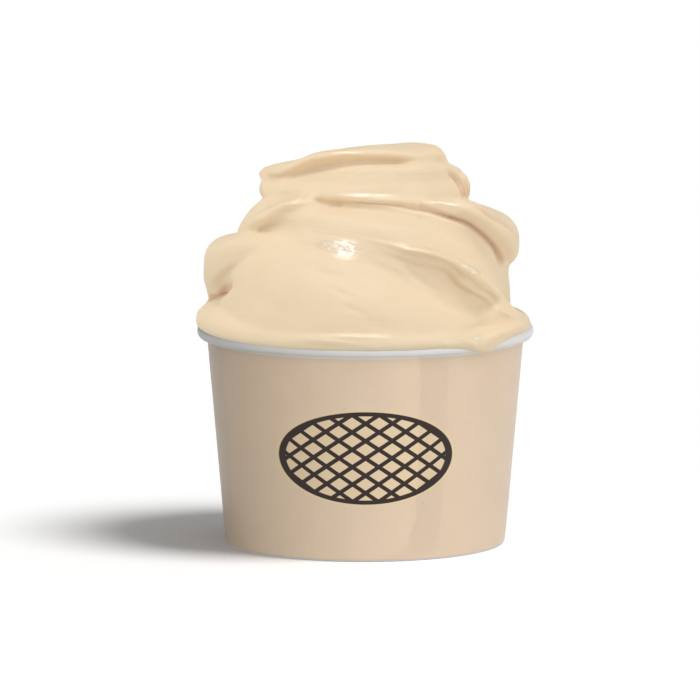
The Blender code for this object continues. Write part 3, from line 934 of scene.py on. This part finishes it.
STROKE_REST = 0.15  # what is left of a stroke at its two ends
WET_RIDGE = 0.8  # how wet a fully wet stroke is along its middle
WET_REACH = 1.4  # how far beside its middle it is wet
WET_TAPER = 0.25  # the share of its length over which it dries to each end
CREASE_SHADE_FROM = 0.9  # a groove deeper than this is darkened with painted shade
CREASE_SHADE_FULLY = 1.6  # and one as deep as this gets the painted shade in full

# Laps, where one fold lies over the next: points along the edge, how far the lower fold is pressed down
# beside it, how deep, and the shares of its length over which the lap tapers to its start and to its end.
# The lower fold is on the left of the line where the depth is positive and on its right where it is
# negative.
LAPS = (
    (((-18.0, 45.0), (-14.7, 46.7), (-9.1, 49.1), (-0.7, 50.5), (9.6, 51.0), (17.0, 50.3)),
     1.8, -0.6, 0.1, 0.5),
    (((-12.0, 40.7), (-5.0, 39.6), (0.0, 39.3), (8.0, 39.0), (13.0, 38.9), (17.1, 38.3), (23.0, 37.0),
      (27.6, 35.4), (31.1, 33.9)),
     1.8, -0.9, 0.12, 0.25),
    (((31.9, 5.5), (36.4, 7.0), (41.3, 7.3), (45.8, 8.1)), 1.6, 0.9, 0.5, 0.3),
    (((16.0, 25.9), (21.0, 25.2), (25.7, 23.8), (28.0, 22.3), (29.8, 19.8), (31.7, 17.9), (34.7, 16.4),
      (37.0, 15.4), (39.2, 13.6), (40.7, 11.6)),
     1.4, -0.8, 0.6, 0.2),
    (((10.0, 25.6), (15.0, 24.2), (19.3, 22.8), (25.0, 21.5), (27.6, 19.8), (30.2, 17.2), (33.2, 15.3),
      (37.0, 13.1), (40.3, 10.4)),
     2.6, -1.5, 0.5, 0.3),
)

LAP_EDGE = 0.9  # how wide the edge of a lap is

# Torn places: middle, reach and how rough
TORN = (
    ((-24.0, 48.0), 3.0, 0.10),
    ((31.4, 47.2), 2.2, 0.30),
)

# Gelato that rounds out the heap, drawn out along stations like the rolls: the cheek beside the lobe, the
# top fold's turned lip, the face and the left tip under it, the shelf over the broad lower fold, the brow of
# the fold above it, the pocket at the left and the neck under it, the roll's front, the foot and the hole at
# the right, and the thin spill over the rim
CHEEK = [
    (13.0, -12.0, 103.0, 3.0, 2.6, 0),
    (18.4, -11.0, 101.4, 4.6, 3.8, 0),
    (21.8, -9.6, 97.4, 5.0, 4.2, 0),
    (23.2, -8.4, 93.0, 5.0, 4.0, 0),
    (22.0, -8.0, 89.0, 4.0, 3.0, 0),
]
TOP_LIP = [
    (-22.6, -13.0, 99.8, 1.6, 1.2, 0),
    (-20.0, -14.8, 101.7, 2.4, 1.5, 0),
    (-13.1, -18.9, 105.2, 2.4, 1.5, 0),
    (-5.2, -20.3, 106.4, 2.5, 1.5, 0),
    (5.4, -20.4, 106.6, 2.5, 1.5, 0),
    (12.5, -19.2, 105.8, 2.2, 1.3, 0),
    (17.0, -16.4, 105.4, 1.4, 1.0, 0),
]
FACE = [
    (-25.0, -11.8, 96.6, 1.8, 1.8, 0),
    (-19.5, -16.0, 97.4, 2.6, 2.4, 0),
    (-11.0, -19.2, 99.2, 3.6, 3.1, 0),
    (-2.0, -20.9, 100.2, 4.4, 3.7, 0),
    (8.0, -20.7, 100.5, 4.4, 3.7, 0),
    (16.0, -17.4, 100.6, 4.4, 3.8, 0),
    (21.0, -11.5, 98.6, 3.6, 3.2, 0),
]
SHELF = [
    (-25.2, -22.9, 84.4, 1.2, 1.2, 0),
    (-17.6, -29.9, 84.6, 3.2, 3.0, 0),
    (-9.2, -34.0, 84.0, 3.4, 3.2, 0),
    (-1.2, -35.5, 82.8, 3.2, 3.1, 0),
    (6.3, -35.3, 79.6, 3.0, 3.3, 0),
    (13.0, -34.2, 75.4, 3.2, 3.6, 0),
    (19.6, -31.4, 70.6, 3.2, 3.6, 0),
    (26.0, -27.2, 66.2, 2.8, 3.2, 0),
    (31.5, -22.8, 62.6, 2.0, 2.6, 0),
]
BROW = [
    (-11.0, -28.6, 93.2, 1.2, 1.0, 0),
    (-5.2, -29.4, 92.9, 2.0, 1.7, 0),
    (2.0, -29.4, 92.8, 2.4, 1.9, 0),
    (8.5, -28.9, 92.5, 2.6, 2.0, 0),
    (12.4, -28.4, 91.9, 2.6, 2.1, 0),
    (16.4, -28.2, 91.0, 2.6, 2.4, 0),
    (20.9, -27.6, 88.6, 2.6, 2.8, 0),
    (24.4, -25.9, 86.2, 2.8, 3.2, 0),
    (27.8, -23.2, 83.0, 2.8, 3.4, 0),
    (31.0, -20.0, 79.2, 2.8, 3.4, 0),
    (32.8, -17.4, 75.8, 2.4, 3.0, 0),
    (34.9, -13.5, 71.5, 1.6, 2.2, 0),
]
POCKET = [
    (-34.0, 16.0, 68.0, 2.4, 2.4, 0),
    (-38.4, 6.0, 67.6, 3.2, 3.2, 0),
    (-38.8, -4.0, 67.6, 3.4, 3.4, 0),
    (-37.0, -12.0, 68.6, 3.0, 3.2, 0),
    (-34.0, -18.0, 70.0, 2.2, 2.4, 0),
]
TIP = [
    (-25.6, -8.6, 100.6, 1.9, 1.9, 0),
    (-25.9, -9.6, 98.6, 2.2, 2.2, 0),
    (-25.5, -11.4, 95.6, 2.2, 2.2, 0),
    (-24.0, -14.0, 92.6, 1.8, 1.8, 0),
]
ROLL_FRONT = [
    (14.3, -28.4, 95.9, 0.9, 0.9, 0),
    (17.6, -27.6, 94.7, 1.9, 1.8, 0),
    (22.3, -26.2, 93.9, 2.7, 2.7, 0),
    (28.2, -26.2, 91.7, 2.9, 2.8, 0),
    (32.5, -23.0, 88.0, 2.9, 2.8, 0),
    (36.6, -17.4, 83.8, 3.3, 3.2, 0),
    (38.2, -11.5, 79.2, 2.6, 2.4, 0),
    (38.0, -6.0, 77.0, 1.8, 1.8, 0),
]
NECK = [
    (-38.5, 12.0, 63.6, 2.2, 1.8, 0),
    (-40.6, 2.0, 63.6, 2.4, 1.9, 0),
    (-40.2, -6.0, 63.4, 2.4, 1.8, 0),
    (-38.0, -13.0, 63.2, 2.2, 1.8, 0),
    (-35.5, -18.0, 63.4, 1.8, 1.6, 0),
]
FOOT = [
    (34.6, -24.0, 67.6, 1.4, 1.6, 0),
    (36.8, -22.0, 65.0, 2.2, 2.2, 0),
    (39.4, -18.6, 62.8, 2.4, 2.2, 0),
    (42.0, -11.0, 61.0, 2.0, 1.8, 0),
    (42.8, -4.0, 60.2, 1.4, 1.4, 0),
]
HOLE = [
    (29.0, -27.0, 63.2, 1.6, 1.8, 0),
    (32.6, -25.0, 63.6, 2.8, 2.8, 0),
    (35.6, -22.4, 63.4, 2.8, 2.6, 0),
]
SPILL = [
    (17.5, -41.4, 58.8, 1.3, 1.4, 0),
    (22.3, -39.2, 58.2, 1.5, 1.6, 0),
    (26.4, -36.6, 57.7, 1.6, 1.7, 0),
    (30.2, -33.5, 56.8, 1.8, 2.1, 0),
    (32.9, -30.8, 56.7, 1.8, 2.1, 0),
    (35.3, -28.0, 57.8, 1.5, 1.7, 0),
    (38.5, -23.6, 58.6, 1.2, 1.3, 0),
]
FILLS = (CHEEK, TOP_LIP, FACE, TIP, SHELF, BROW, POCKET, ROLL_FRONT, NECK, FOOT, HOLE, SPILL)

# Patches of bare crystals that glint, lightened with a painted highlight: middle, half length, half height
# and lean
GLINTS = (
    ((-3.0, 27.7), 6.4, 1.9, -4),
    ((-1.2, 26.4), 3.2, 2.0, 0),
    ((31.8, 21.7), 3.8, 1.1, -26),
    ((34.4, 3.2), 1.3, 1.0, 0),
)


def seen(points):
    """Where points appear from the camera's side, across and up in millimetres."""
    tilt = radians(VIEW_TILT)
    across, height = points[:, 0] - VIEW_MIDDLE[0], points[:, 2] - VIEW_MIDDLE[1]
    depth = VIEW_DISTANCE + points[:, 1] * cos(tilt) - height * sin(tilt)
    up = height * cos(tilt) + points[:, 1] * sin(tilt)
    return across * VIEW_DISTANCE / depth, up * VIEW_DISTANCE / depth


def beside(across, up, line):
    """How far each seen point is from a smooth line, at what share of its length, and on which side: 1 is
    its left and -1 its right."""
    keys = [line[0], *line, line[-1]]
    samples = []
    for k in range(1, len(keys) - 2):
        for step in range(6):
            share = step / 6
            samples.append(
                [catmull_rom(*four, share) for four in zip(*(keys[k - 1 : k + 3]))]
            )
    samples.append(line[-1])
    distance = numpy.full(across.shape, 1e9)
    place = numpy.zeros(across.shape)
    side = numpy.ones(across.shape)
    for k in range(len(samples) - 1):
        (x0, y0), (x1, y1) = samples[k], samples[k + 1]
        dx, dy = x1 - x0, y1 - y0
        share = ((across - x0) * dx + (up - y0) * dy) / (dx * dx + dy * dy)
        share = numpy.clip(share, 0.0, 1.0)
        gap = numpy.hypot(across - x0 - share * dx, up - y0 - share * dy)
        nearer = gap < distance
        distance = numpy.where(nearer, gap, distance)
        place = numpy.where(nearer, (k + share) / (len(samples) - 1), place)
        turn = dx * (up - y0) - dy * (across - x0)
        side = numpy.where(nearer, numpy.sign(turn), side)
    return distance, place, side


def taper(place, start, end, rest=0.0):
    """How strong a line is at a share of its length. It falls over the shares start and end, to the rest
    that is left at its two ends."""
    rise = numpy.clip(place / start + rest, 0.0, 1.0)
    fall = numpy.clip((1 - place) / end + rest, 0.0, 1.0)
    return rise * fall


def table(mesh, name):
    """A mesh's points, in millimetres, or its normals as an array."""
    values = numpy.empty(len(mesh.vertices) * 3)
    if name == "points":
        mesh.vertices.foreach_get("co", values)
        values /= MM
    else:
        mesh.vertex_normals.foreach_get("vector", values)
    return values.reshape(-1, 3)


def facing(normals):
    """1 where a face looks at the camera's side, falling to 0 where it turns away."""
    tilt = radians(VIEW_TILT)
    towards = normals[:, 2] * sin(tilt) - normals[:, 1] * cos(tilt)
    return numpy.clip(towards * 4.0 + 0.4, 0.0, 1.0)


# How the streaks follow the folds: the heights of the lowest fold, the top fold and the heap's end, the
# least height of a fold, the pattern's width across each fold and its radius round the heap
FOLD_BASE = 57.0
TOP_FOLD = 100.0
HEAP_END = 112.0
FOLD_LEAST = 1.5
FOLD_SPAN = 9.0
FLOW_RADIUS = 40

# The pattern on the heap's top runs straight across. It takes over above this height, within this distance.
TOP_FROM = 99.0
TOP_BLEND = 3.5

# How the pattern is stretched in the gelato's finish
FLOW_STRETCH = (0.05, 0.05, 1.1)


def fold_tables():
    """The height of each fold's underside at every degree."""
    lines = []
    for angle in range(361):
        heights = [FOLD_BASE]
        for keys in (BULGE, MIDDLE, SHOULDER):
            heights.append(max(around(keys, angle)[1], heights[-1] + FOLD_LEAST))
        heights.append(max(TOP_FOLD, heights[-1] + 2 * FOLD_LEAST))
        lines.append([*heights, HEAP_END])
    return lines


def flow_of(points):
    """Where each point lies on its fold: the first two values run with the spatula's stroke and the third
    across it, in millimetres."""
    lines = numpy.array(fold_tables())
    angle = numpy.degrees(numpy.arctan2(points[:, 1], points[:, 0])) % 360
    low = angle.astype(int)
    heights = lines[low] + (lines[low + 1] - lines[low]) * (angle - low)[:, None]
    across = numpy.zeros(len(points))
    for k in range(heights.shape[1] - 1):
        share = (points[:, 2] - heights[:, k]) / (heights[:, k + 1] - heights[:, k])
        across += FOLD_SPAN * numpy.clip(share, 0.0, 1.0)
    turn = numpy.radians(angle)
    side = numpy.stack((FLOW_RADIUS * numpy.cos(turn), FLOW_RADIUS * numpy.sin(turn), across), axis=1)
    rise = 1.2 * points[:, 2] - 0.8 * points[:, 1]
    top = numpy.stack((points[:, 0] + 30.0, numpy.zeros(len(points)), rise), axis=1)
    share = numpy.clip((points[:, 2] - TOP_FROM) / TOP_BLEND, 0.0, 1.0)[:, None]
    return side + (top - side) * share * share * (3 - 2 * share)


def soften_places(heap):
    """Smooths the heap where its creases are worn soft."""
    points = table(heap.data, "points")
    across, up = seen(points)
    weight = numpy.zeros(len(points))
    for line, reach, strength in SOFT_PLACES:
        distance, _, _ = beside(across, up, line)
        weight = numpy.maximum(weight, strength * numpy.clip(1.6 - distance / reach, 0.0, 1.0))
    behind = points[:, 1] > 12.0
    weight[behind] = 0.0
    group = heap.vertex_groups.new(name="soft_places")
    for index in numpy.nonzero(weight > 0.02)[0]:
        group.add([int(index)], float(weight[index]), "REPLACE")
    melt = heap.modifiers.new("melt", "SMOOTH")
    melt.iterations = SOFT_ROUNDS
    melt.vertex_group = group.name
    heap.data = applied(heap)
    heap.modifiers.clear()
    heap.vertex_groups.clear()


def wet_places(points, normals):
    """How wet each point is, 0 to 1: along the ridges, and in patches of bare crystals, where it also lays a
    painted highlight.
    """
    across, up = seen(points)
    wet = numpy.zeros(len(points))
    for line, *_, wetness in STROKES:
        if wetness > 0:
            distance, place, _ = beside(across, up, line)
            middle = WET_RIDGE * wetness * taper(place, WET_TAPER, WET_TAPER)
            wet = numpy.maximum(wet, middle * numpy.exp(-((distance / WET_REACH) ** 2)))
    for middle, half_across, half_up, lean in GLINTS:
        turn = radians(lean)
        dx, dy = across - middle[0], up - middle[1]
        along_patch = (dx * cos(turn) + dy * sin(turn)) / half_across
        over_patch = (dy * cos(turn) - dx * sin(turn)) / half_up
        away = numpy.hypot(along_patch, over_patch)
        # A patch is whole in its middle, thins out slowly and ends soon past its edge.
        patch = numpy.minimum(1.3 - 0.5 * away, 3.2 - 2.4 * away)
        wet = numpy.maximum(wet, numpy.clip(patch, 0.0, 1.0))
    return wet * facing(normals)


def crease_shade_places(points):
    """How much painted shade each point gets inside a crease, 0 to 1."""
    across, up = seen(points)
    deep = numpy.zeros(len(points))
    for line, half_width, height, start, end, _ in STROKES:
        if height < -CREASE_SHADE_FROM:
            distance, place, _ = beside(across, up, line)
            core = numpy.exp(-((distance / (1.5 * half_width)) ** 2)) * min(1.0, -height / CREASE_SHADE_FULLY)
            deep = numpy.maximum(deep, core * taper(place, start, end, STROKE_REST))
    behind = points[:, 1] > 0.0
    deep[behind] = 0.0
    return deep


def work_surface(mesh, streak):
    """Lays strokes, laps and torn places on the front, and fine streaks along the folds all round."""
    points, normals = table(mesh, "points"), table(mesh, "normals")
    across, up = seen(points)
    front = facing(normals)
    lift = numpy.zeros(len(points))
    for line, half_width, height, start, end, _ in STROKES:
        distance, place, _ = beside(across, up, line)
        ridge = numpy.exp(-0.5 * (distance / half_width) ** 2)
        lift += front * height * ridge * taper(place, start, end, STROKE_REST)
    for line, reach, depth, start, end in LAPS:
        distance, place, side = beside(across, up, line)
        over = distance * side * numpy.sign(depth)
        edge = numpy.clip(0.5 + over / LAP_EDGE, 0.0, 1.0)
        pressed = edge * numpy.exp(-numpy.clip(over, 0.0, None) / reach)
        lift -= front * abs(depth) * pressed * taper(place, start, end)
    torn = numpy.zeros(len(points))
    for middle, reach, rough in TORN:
        away = numpy.hypot(across - middle[0], up - middle[1]) / reach
        torn = numpy.maximum(torn, rough * numpy.clip(1.5 - away, 0.0, 1.0))
    for k in numpy.nonzero(torn > 0.01)[0]:
        for height, fineness in ((1.6, 0.55), (0.8, 1.3)):
            lift[k] += torn[k] * height * noise.noise(Vector(points[k]) * fineness)
    # The streaks are long along the fold and close across it. They wander a little, and the fine ones come
    # and go in patches.
    for k, (x, y, z) in enumerate(flow_of(points)):
        bend = 2.4 * noise.noise(Vector((x * 0.05, y * 0.05, z * 0.08)))
        broad = noise.noise(Vector((x * 0.035, y * 0.035, (z + bend) * 0.20)))
        fine = noise.noise(Vector((x * 0.06 + 9, y * 0.06, (z + bend) * 0.62)))
        patch = noise.noise(Vector((x * 0.05, y * 0.05 + 5, z * 0.12)))
        lift[k] += millimetres(streak) * (1.3 * broad + 0.5 * fine * max(0.0, 0.2 + 1.6 * patch))
    moved = (points + normals * lift[:, None]) * MM
    mesh.vertices.foreach_set("co", moved.ravel())
    mesh.update()


class GELATOCUP_OT_add_gelato(bpy.types.Operator):
    """Adds the gelato: overlapping folds fused into one heap that fills the cup"""

    bl_idname = "gelato_cup.add_gelato"
    bl_label = "Add Gelato"

    def execute(self, context):
        sizes, colours, _ = settings()
        balls = bpy.data.meshes.new("heap")
        for layer in LAYERS:
            add_ball(balls, LAYER_SEGMENTS, LAYER_RINGS, shape_layer, layer)
        for stations in (*ROLLS, *FILLS):
            add_ball(balls, ROLL_SEGMENTS, ROLL_RINGS, shape_roll, stations)
        add_ball(balls, ROLL_SEGMENTS, ROLL_SEGMENTS, shape_drop, DRIP)
        heap = add_object("heap", balls)
        fuse = heap.modifiers.new("fuse_folds", "REMESH")
        fuse.mode = "VOXEL"
        fuse.voxel_size = sizes.voxel
        soften = heap.modifiers.new("soften", "SMOOTH")
        soften.iterations = FUSE_ROUNDS
        heap.data = applied(heap)
        heap.modifiers.clear()
        soften_places(heap)
        work_surface(heap.data, sizes.streak)

        cutters = []
        for name, outline, operation in (
            ("fill_cup", plug_outline(), "UNION"),
            ("clear_of_cup", room_outline(), "INTERSECT"),
        ):
            cutter = add_object(name, mesh_from(name, turned(outline, sizes.segments)))
            cutters.append(cutter)
            step = heap.modifiers.new(name, "BOOLEAN")
            step.operation = operation
            step.object = cutter
        mesh = applied(heap)
        for helper in (heap, *cutters):
            bpy.data.objects.remove(helper)
        if not mesh.vertices:
            raise RuntimeError("the heap came out empty")
        mesh.name = "gelato_heap"
        mesh.materials.clear()
        flow = mesh.attributes.new("flow", "FLOAT_VECTOR", "POINT")
        points, normals = table(mesh, "points"), table(mesh, "normals")
        flow.data.foreach_set("vector", (flow_of(points) * FLOW_STRETCH).ravel())
        # wet drives the gloss and the painted glint highlight, deep the painted shade in the creases
        for name, values in (("wet", wet_places(points, normals)), ("deep", crease_shade_places(points))):
            mesh.attributes.new(name, "FLOAT", "POINT").data.foreach_set("value", values)
        gelato = add_object("gelato_heap", mesh, gelato_finish(colours))
        smoothed(gelato, 65)
        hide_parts("gelato")
        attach(gelato, "root")
        return {"FINISHED"}


# The studio

FLOOR_HALF_SIZE = 12.0  # in metres
FLOOR_COLOUR = (0.95, 0.95, 0.95, 1.0)
SENSOR_WIDTH = 36.0
VIEW_END = 60.0  # in metres

# Light from all round, as shares of the room light: at the left and at the right
SKY_LEFT = 0.35
SKY_RIGHT = 1.45

# The suns: name, setting of its energy, share of it, spread in degrees, its direction as degrees round the
# axis and upwards, and what it lights. The last two show only as highlights.
LIGHTS = (
    ("floor_key", "key", 1.0, 24, -27, 60, "floor"),
    ("cup_light", "cup_light", 1.0, 150, -66, 8, "cup"),
    ("heap_light", "heap_light", 1.0, 18, -112, 71, "heap"),
    ("heap_fill", "heap_fill", 1.0, 170, -112, -12, "heap"),
    ("heap_side_left", "heap_sides", 1.0, 90, 178, 4, "heap"),
    ("heap_side_right", "heap_sides", 0.65, 90, -12, -4, "heap"),
    ("window_gloss_left", "gloss", 1.0, 12, -100, 43, "heap"),
    ("window_gloss_right", "gloss", 0.8, 12, -64, 43, "heap"),
)


def group_of(name, *objects):
    made = bpy.data.collections.new(name)
    for obj in objects:
        made.objects.link(obj)
    return made


class GELATOCUP_OT_add_studio(bpy.types.Operator):
    """Adds the pale floor, the lights and the camera"""

    bl_idname = "gelato_cup.add_studio"
    bl_label = "Add Studio"

    def execute(self, context):
        _, _, studio = settings()
        scene = context.scene
        scene.view_settings.view_transform = "Standard"

        bm = bmesh.new()
        bmesh.ops.create_grid(bm, x_segments=1, y_segments=1, size=FLOOR_HALF_SIZE)
        floor_finish = Finish("pale_floor")
        floor_finish.set({"Base Color": FLOOR_COLOUR, "Roughness": 0.8, "Specular IOR Level": 0.1})
        floor = add_object("studio_floor", mesh_from("studio_floor", bm), floor_finish.material)
        floor.visible_diffuse = False

        back = Vector((0.0, -cos(studio.elevation), sin(studio.elevation)))
        target = Vector((VIEW_MIDDLE[0], 0.0, VIEW_MIDDLE[1])) * MM
        camera = bpy.data.objects.new("camera", bpy.data.cameras.new("camera"))
        camera.location = target + back * studio.distance
        camera.rotation_euler = (-back).to_track_quat("-Z", "Y").to_euler()
        camera.data.lens = studio.lens
        camera.data.sensor_width = SENSOR_WIDTH
        camera.data.clip_end = VIEW_END
        scene.collection.objects.link(camera)
        scene.camera = camera

        cup = [bpy.data.objects[name] for name in ("cup_sheet", "side_seam", "floor_disc")]
        gelato = bpy.data.objects["gelato_heap"]
        lit = {
            "heap": group_of("heap_only", gelato),
            "cup": group_of("cup_only", *cup),
            "floor": group_of("floor_only", floor),
        }
        solid = group_of("cup_and_heap", *cup, gelato)
        for name, setting, share, spread, around_axis, height, target_group in LIGHTS:
            light = bpy.data.objects.new(name, bpy.data.lights.new(name, "SUN"))
            light.data.energy = share * getattr(studio, setting)
            light.data.angle = radians(spread)
            turn, lean = radians(around_axis), radians(height)
            towards = Vector((cos(turn) * cos(lean), sin(turn) * cos(lean), sin(lean)))
            light.rotation_euler = (-towards).to_track_quat("-Z", "Y").to_euler()
            light.light_linking.receiver_collection = lit[target_group]
            if target_group == "heap":
                light.light_linking.blocker_collection = solid
            light.visible_diffuse = setting != "gloss"
            light.visible_transmission = light.visible_diffuse
            scene.collection.objects.link(light)

        world = bpy.data.worlds.new("room")
        world.use_nodes = True
        nodes, links = world.node_tree.nodes, world.node_tree.links
        way = nodes.new("ShaderNodeTexCoord")
        parts = nodes.new("ShaderNodeSeparateXYZ")
        side = nodes.new("ShaderNodeMapRange")
        side.inputs["From Min"].default_value = -1.0
        side.inputs["To Min"].default_value = studio.sky * SKY_LEFT
        side.inputs["To Max"].default_value = studio.sky * SKY_RIGHT
        links.new(way.outputs["Generated"], parts.inputs["Vector"])
        links.new(parts.outputs["X"], side.inputs["Value"])
        links.new(side.outputs["Result"], nodes["Background"].inputs["Strength"])
        nodes["Background"].inputs["Color"].default_value = (1.0, 1.0, 1.0, 1.0)
        scene.world = world
        return {"FINISHED"}


class GELATOCUP_PT_panel(bpy.types.Panel):
    """Lists the steps and their settings"""

    bl_idname = "GELATOCUP_PT_panel"
    bl_label = "Gelato Cup"
    bl_space_type = "VIEW_3D"
    bl_region_type = "UI"
    bl_category = "Gelato Cup"

    def draw(self, context):
        for step in STEPS:
            self.layout.operator(step.bl_idname)
        for group in settings():
            box = self.layout.box()
            for name in group.__annotations__:
                box.prop(group, name)


GROUPS = {
    "gelato_cup_sizes": GelatoCupSizes,
    "gelato_cup_colours": GelatoCupColours,
    "gelato_cup_studio": GelatoCupStudio,
}
STEPS = (
    GELATOCUP_OT_add_sheet,
    GELATOCUP_OT_add_floor,
    GELATOCUP_OT_add_gelato,
    GELATOCUP_OT_add_studio,
)


def register():
    for cls in (*GROUPS.values(), *STEPS, GELATOCUP_PT_panel):
        bpy.utils.register_class(cls)
    for name, group in GROUPS.items():
        setattr(bpy.types.Scene, name, PointerProperty(type=group))


def unregister():
    for name in GROUPS:
        delattr(bpy.types.Scene, name)
    for cls in reversed((*GROUPS.values(), *STEPS, GELATOCUP_PT_panel)):
        bpy.utils.unregister_class(cls)


def main():
    register()
    bpy.ops.gelato_cup.add_sheet()
    bpy.ops.gelato_cup.add_floor()
    bpy.ops.gelato_cup.add_gelato()
    bpy.ops.gelato_cup.add_studio()


if __name__ == "__main__":
    main()
